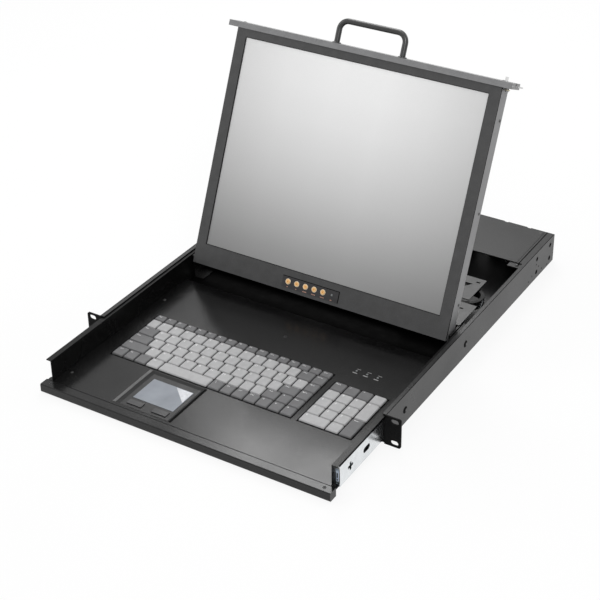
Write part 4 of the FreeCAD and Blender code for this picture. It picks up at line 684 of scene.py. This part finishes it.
for number, x in enumerate(BUTTON_X, start=1):
    bm = bmesh.new()
    lathe(bm, [(1.0, -0.1), (1.0, 0.02), (0.7, 0.1), (0.05, 0.12)],
          upright(x, CAP_FRONT + 0.16, CONTROL_Z), OUT, 16)
    finish_mesh(f"button_mark_{number}", bm, [ORANGE], f"monitor_{number}")

# one dot under each of the first two buttons and under the light, three dashes under the others
DOT, LIGHT_DOT, DASH, DASH_PITCH, DASHES_LEFT = 0.8, 1.3, 1.8, 2.2, 3.2
LABEL_LOW, LABEL_HIGH = CONTROL_Z - 8.0, CONTROL_Z - 6.8
spans = [(x - DOT, x + DOT) for x in BUTTON_X[:2]]
spans += [(x - DASHES_LEFT + DASH_PITCH * k, x - DASHES_LEFT + DASH_PITCH * k + DASH)
          for x in BUTTON_X[2:] for k in range(3)]
spans.append((LIGHT_X - LIGHT_DOT, LIGHT_X + LIGHT_DOT))
bm = bmesh.new()
for left, right in spans:
    slab(bm, (left, PLATE - 0.06, LABEL_LOW), (right, PLATE + 0.1, LABEL_HIGH), 0.02, pose=UPRIGHT)
finish_mesh("button_labels", bm, [PRINT_ORANGE], "display", smooth=False)

# a black strip painted as the shadow line along the top and right edge of the button plate
bm = bmesh.new()
plate_left, plate_right = (corner.x for corner in corners("button_panel"))
for low, high in (((plate_left - 0.1, 12.5), (plate_right, 13.4)),
                  ((plate_right, -3.4), (plate_right + 0.9, 13.4))):
    slab(bm, (low[0], PLATE - 0.05, low[1]), (high[0], PLATE + 0.5, high[1]), 0.05, pose=UPRIGHT)
finish_mesh("button_plate_painted_shadow", bm, [JOINT_AND_SHADE_BLACK], "display", smooth=False)

# the joint between the display's front frame and its case, down both sides
bm = bmesh.new()
for sign in (-1, 1):
    mirrored_slab(bm, sign, (CASE_SIDE - 0.3, FACE + 0.9, -5.0),
                  (CASE_SIDE + 0.05, FACE + 3.1, BAR_LOW - 1.0), 0.02, pose=UPRIGHT)
finish_mesh("display_joint", bm, [JOINT_AND_SHADE_BLACK], "display", smooth=False)

# a dark gasket round the panel's visible edge
bm = bmesh.new()
GASKET = 1.1
for low, high in (((-SCREEN_X, SCREEN_LOW), (-SCREEN_X + GASKET, SCREEN_HIGH)),
                  ((SCREEN_X - GASKET, SCREEN_LOW), (SCREEN_X, SCREEN_HIGH)),
                  ((-SCREEN_X, SCREEN_LOW), (SCREEN_X, SCREEN_LOW + GASKET)),
                  ((-SCREEN_X, SCREEN_HIGH - GASKET), (SCREEN_X, SCREEN_HIGH))):
    slab(bm, (low[0], FACE + 1.0, low[1]), (high[0], FACE + 1.75, high[1]), 0.2, pose=UPRIGHT)
finish_mesh("screen_gasket", bm, [GLOSS], "display", smooth=False)

# a brass collar round the catch pin under the bar's right end
bm = bmesh.new()
PIN_X = 207.0
lathe(bm, [(2.45, 0.3), (3.9, 0.3), (4.0, 0.8), (3.6, 1.4), (2.45, 1.5)],
      upright(PIN_X, BAR_MIDDLE, BAR_LOW - 2.0), -UP, 24, hollow=True)
lathe(bm, [(1.9, 4.8), (2.0, 4.98), (0.05, 4.99)], upright(PIN_X, BAR_MIDDLE, BAR_LOW), -UP, 20)
finish_mesh("catch_collar", bm, [BRASS], "display")

# fasteners of the display: bar screws, side screws and back-cover screws
bm = bmesh.new()
for x in (-200.0, 200.0):
    screw(bm, upright(x, BAR_MIDDLE, BAR_HIGH), UP, 2.6, 0.9)
for sign in (-1, 1):
    outward = Vector((sign, 0, 0))
    for z in (40.0, 165.0, 290.0):
        screw(bm, upright(sign * CASE_SIDE, 1.0, z), outward, 2.2, 0.8)
for x in (-150.0, 0.0, 150.0):
    for z in (20.0, 300.0):
        screw(bm, upright(x, CASE_BACK, z), -OUT, 2.4, 0.8)
finish_mesh("display_screws", bm, [DARK_METAL, JOINT_AND_SHADE_BLACK], "display")

# ------------------------------------------------------------------ tray
DECK_TOP = corners("keyboard_deck")[1].z
LIP = corners("front_bezel")[1].z
bm = bmesh.new()
for x, y in ((-201, -87), (201, -87), (-201, 118), (204, 118), (-4, 125)):
    screw(bm, at(x, y, DECK_TOP), SKY, 2.5, 1.0)
finish_mesh("deck_screws", bm, [BLACK, JOINT_AND_SHADE_BLACK], "drawer")

# two short lines behind each status light
bm = bmesh.new()
for x in (119.6, 135.4, 151.2):
    for left, right, front, back in ((-3.6, 3.4, 98.6, 100.2), (-1.6, 4.0, 108.2, 109.0)):
        slab(bm, (x + left, front, DECK_TOP - 0.1), (x + right, back, DECK_TOP + 0.05), 0.02)
finish_mesh("light_marks", bm, [PRINT_DIM], "drawer", smooth=False)

# the dark joint along the back of the bezel's lip, and the lip's end screws
bm = bmesh.new()
slab(bm, (-216.5, -117.5, LIP - 0.4), (216.5, -116.5, LIP + 0.04), 0.02)
finish_mesh("bezel_joint", bm, [JOINT_AND_SHADE_BLACK], "drawer", smooth=False)
bm = bmesh.new()
for x in (-206.0, 206.0):
    screw(bm, at(x, -122.8, LIP - 0.1), SKY, 2.4, 0.6)
finish_mesh("bezel_screws", bm, [BLACK, JOINT_AND_SHADE_BLACK], "drawer")

# plastic stops in the front ends of the inner rails
for sign, name in ((-1, "left"), (1, "right")):
    bm = bmesh.new()
    for low, high, material in (((212.6, -107.3, -7.5), (215.9, -102.0, 7.5), 0),
                                ((213.4, -107.5, -2.0), (215.2, -107.2, 5.0), 1),
                                ((213.4, -107.5, -6.0), (215.2, -107.2, -4.0), 1)):
        mirrored_slab(bm, sign, low, high, 0.3, material)
    finish_mesh(f"{name}_slide_stop", bm, [STOP, JOINT_AND_SHADE_BLACK], "drawer")

# the touchpad frame's sloping sides: the left one light grey as a painted highlight, the right one
# black as a painted shadow
low, high = corners("touchpad_frame")
bm = bmesh.new()
for outer, inner, material in ((low.x - 4.0, low.x + 0.8, 1), (high.x + 2.6, high.x - 0.4, 0)):
    outline = ((outer, -0.1), (outer, 0.12), (inner, 0.7), (inner, -0.1))
    rings = [[bm.verts.new(at(x, y, DECK_TOP + rise)) for x, rise in outline]
             for y in (low.y + 1.5, high.y - 1.5)]
    ring_faces(bm, rings, material)
finish_mesh("pad_frame_painted_light_sides", bm, [JOINT_AND_SHADE_BLACK, PAD_SIDE_HIGHLIGHT], "drawer", smooth=False)

# the clear corner of the touchpad's film
pad = corners("touchpad_surface")[1]
bm = bmesh.new()
rings = [[bm.verts.new(at(pad.x - left, pad.y - front, pad.z + rise))
          for left, front in ((26.2, 0.7), (0.7, 0.7), (0.7, 24.5))] for rise in (-0.1, 0.04)]
ring_faces(bm, rings)
finish_mesh("pad_corner", bm, [LED_WHITE], "drawer", smooth=False)

# ------------------------------------------------------------------ housing
BOTTOM, (WALL_X, BACK, TOP) = corners("housing_shell")[0].z, corners("housing_shell")[1]
SLIDE_SCREWS, SLIDE_SCREW_Z = (49.7, 220.4), -1.3
RIVETS = ((493.0, 4.0), (472.5, 7.5), (438.0, 11.4), (427.0, 7.6), (461.0, 17.0), (452.0, 24.0))
REAR_HOLES = [(y, z) for y in (453.5, 500.5) for z in (-10.9, 10.9)]
for sign, name in ((-1, "left"), (1, "right")):
    out = Vector((sign, 0, 0))
    bm = bmesh.new()
    for y in SLIDE_SCREWS:
        # a wide black disc under each rail screw's off-centre head, whose rim shows as a painted
        # shadow crescent
        lathe(bm, [(4.9, -0.1), (4.9, 0.15), (4.6, 0.3), (0.05, 0.3)],
              at(sign * WALL_X, y, SLIDE_SCREW_Z), out, 24, 1)
        lathe(bm, [(2.0, 0.25), (2.0, 0.5), (1.5, 0.75), (0.05, 0.8)],
              at(sign * WALL_X, y + 1.8, SLIDE_SCREW_Z - 1.0), out, 20)
    for y, z in RIVETS:
        lathe(bm, [(1.2, -0.2), (1.2, 0.08), (0.1, 0.14)], at(sign * WALL_X, y, BOTTOM + z), out,
              12, 1)
    finish_mesh(f"{name}_wall_screws", bm, [DARK_METAL, JOINT_AND_SHADE_BLACK], "housing")
    # a black disc inside each rear hole and a black ring at its mouth, painted as the shade in the
    # hole
    bm = bmesh.new()
    for y, z in REAR_HOLES:
        place = at(sign * WALL_X, y, z)
        lathe(bm, [(2.55, -1.15), (2.55, -0.75), (0.05, -0.75)], place, out, 20)
        lathe(bm, [(2.8, 0.0), (3.5, 0.0), (3.5, 0.08), (2.8, 0.08)], place, out, 24, hollow=True)
    finish_mesh(f"{name}_hole_painted_shade", bm, [JOINT_AND_SHADE_BLACK], "housing")

# the dark line along each wall's top bend
bm = bmesh.new()
for sign in (-1, 1):
    mirrored_slab(bm, sign, (WALL_X - 1.1, 1.5, TOP - 0.3), (WALL_X - 0.2, BACK - 1.5, TOP + 0.04),
                  0.02)
finish_mesh("wall_bends", bm, [JOINT_AND_SHADE_BLACK], "housing", smooth=False)

# the rear cover's screws and the dark joints at its sides
bm = bmesh.new()
for x, y in ((208.6, 407.0), (201.3, 508.5), (-208.6, 407.0), (-201.3, 508.5)):
    screw(bm, at(x, y, TOP - 0.1), SKY, 1.8, 0.6)
for sign in (-1, 1):
    mirrored_slab(bm, sign, (208.6, 407.5, TOP - 0.5), (210.4, BACK - 0.5, TOP + 0.03), 0.02, 1)
finish_mesh("cover_screws", bm, [DARK_METAL, JOINT_AND_SHADE_BLACK], "housing")


def rearward(x, z):
    """A matrix for lettering on the rear panel that reads from behind."""
    return (Matrix.Translation((x, BACK + 0.03, z)) @ Matrix.Rotation(math.pi, 4, "Z")
            @ Matrix.Rotation(math.pi / 2, 4, "X"))


# the rear panel's marks, port screws and contacts, and what shows through the vents
words("switch_words", [("ON", 2.8, rearward(150.6, 5.6)), ("OFF", 2.8, rearward(150.0, -5.2))],
      PRINT, "housing", 0.03)
PORT_Z, DVI_X = 0.7, -107.0
bm = bmesh.new()
for x in (-147.0, -177.0):
    screw(bm, at(x, BACK, PORT_Z), REAR, 3.3, 1.2)
finish_mesh("port_screws", bm, [BLACK, JOINT_AND_SHADE_BLACK], "housing")
bm = bmesh.new()
for sign in (-1, 1):
    lathe(bm, [(1.7, 4.1), (1.7, 4.54), (0.05, 4.54)], at(DVI_X + sign * 18.5, BACK, PORT_Z), REAR,
          20, 1)
slab(bm, (DVI_X - 11.6, BACK + 0.5, PORT_Z - 3.4), (DVI_X + 11.6, BACK + 2.6, PORT_Z + 3.4), 0.2,
     1)
for column in range(8):
    for line in range(3):
        x, z = DVI_X - 7.6 + 2.0 * column, PORT_Z + 1.9 * (line - 1)
        slab(bm, (x - 0.45, BACK + 2.5, z - 0.45), (x + 0.45, BACK + 2.7, z + 0.45), 0.05)
finish_mesh("port_contacts", bm, [GOLD_PIN, JOINT_AND_SHADE_BLACK], "housing", smooth=False)
bm = bmesh.new()
slab(bm, (105.0, 502.0, -8.2), (115.5, 507.0, -3.0), 0.8)
slab(bm, (105.0, 502.0, -13.4), (115.5, 507.0, -10.4), 0.5, 1)
finish_mesh("vent_components", bm, [BLUE, YELLOW], "housing")

# ------------------------------------------------------------------ floor, world and lamps
def background_rays(nodes, links):
    """1 for the rays that show the white background, and 0 for those that light the part."""
    rays = nodes.new("ShaderNodeLightPath")
    result = rays.outputs["Is Camera Ray"]
    for name in ("Is Glossy Ray", "Is Transmission Ray"):
        most = nodes.new("ShaderNodeMath")
        most.operation = "MAXIMUM"
        links.new(result, most.inputs[0])
        links.new(rays.outputs[name], most.inputs[1])
        result = most.outputs[0]
    return result


FLOOR_HALF, FLOOR_GAP = 30.0, 0.0005
FLOOR_WHITE = 0.86    # how far the floor goes towards plain white, which leaves it the shadow
floor_mesh = bpy.data.meshes.new("floor")
FLOOR_CORNERS = ((-1, -1), (1, -1), (1, 1), (-1, 1))
floor_mesh.from_pydata([(x * FLOOR_HALF, y * FLOOR_HALF, 0) for x, y in FLOOR_CORNERS], [],
                       [(0, 1, 2, 3)])
floor = bpy.data.objects.new("floor", floor_mesh)
floor.location.z = cad_box[0][2] - FLOOR_GAP
bpy.context.scene.collection.objects.link(floor)
s = Surface("floor")
s.feed("Base Color", s.ramp(s.noise(3, 2), [(0.3, (0.84, 0.84, 0.84, 1)),
                                            (0.7, (0.87, 0.87, 0.87, 1))]))
s.set("Roughness", 0.9)
share = s.nodes.new("ShaderNodeMath")
share.operation = "MULTIPLY"
share.inputs[1].default_value = FLOOR_WHITE
s.links.new(background_rays(s.nodes, s.links), share.inputs[0])
white = s.nodes.new("ShaderNodeEmission")
white.inputs["Color"].default_value = (1, 1, 1, 1)
blend = s.nodes.new("ShaderNodeMixShader")
s.links.new(share.outputs[0], blend.inputs[0])
s.links.new(s.shader.outputs[0], blend.inputs[1])
s.links.new(white.outputs[0], blend.inputs[2])
s.links.new(blend.outputs[0], s.nodes["Material Output"].inputs["Surface"])
floor.data.materials.append(s.material)

world = bpy.data.worlds.new("world")
world.use_nodes = True
bpy.context.scene.world = world
nodes, links = world.node_tree.nodes, world.node_tree.links
AMBIENT = 0.42
light = nodes["Background"]
plain = nodes.new("ShaderNodeBackground")
for shader, strength in ((light, AMBIENT), (plain, 1.0)):
    shader.inputs["Color"].default_value = (1, 1, 1, 1)
    shader.inputs["Strength"].default_value = strength
blend = nodes.new("ShaderNodeMixShader")
links.new(background_rays(nodes, links), blend.inputs[0])
links.new(light.outputs[0], blend.inputs[1])
links.new(plain.outputs[0], blend.inputs[2])
links.new(blend.outputs[0], nodes["World Output"].inputs["Surface"])


def lamp(name, place, target, size, power):
    """A square area lamp, in metres and watts."""
    data = bpy.data.lights.new(name, "AREA")
    data.shape = "SQUARE"
    data.size = size
    data.energy = power
    thing = bpy.data.objects.new(name, data)
    bpy.context.scene.collection.objects.link(thing)
    aim(thing, place, target)


CENTRE = (0.0, 0.2, 0.05)
lamp("key", (1.3, -1.5, 1.9), CENTRE, 1.2, 27.0)
lamp("top", (-0.3, 0.6, 2.2), CENTRE, 1.8, 14.0)
lamp("left_fill", (-2.0, -0.6, 1.2), CENTRE, 1.2, 10.0)
lamp("rear", (1.2, 2.2, 1.5), CENTRE, 1.0, 8.0)
lamp("sheen", (-0.74, 1.55, 1.6), (0.1, -0.1, 0.0), 0.75, 12.5)

bpy.context.scene.view_settings.view_transform = "Standard"
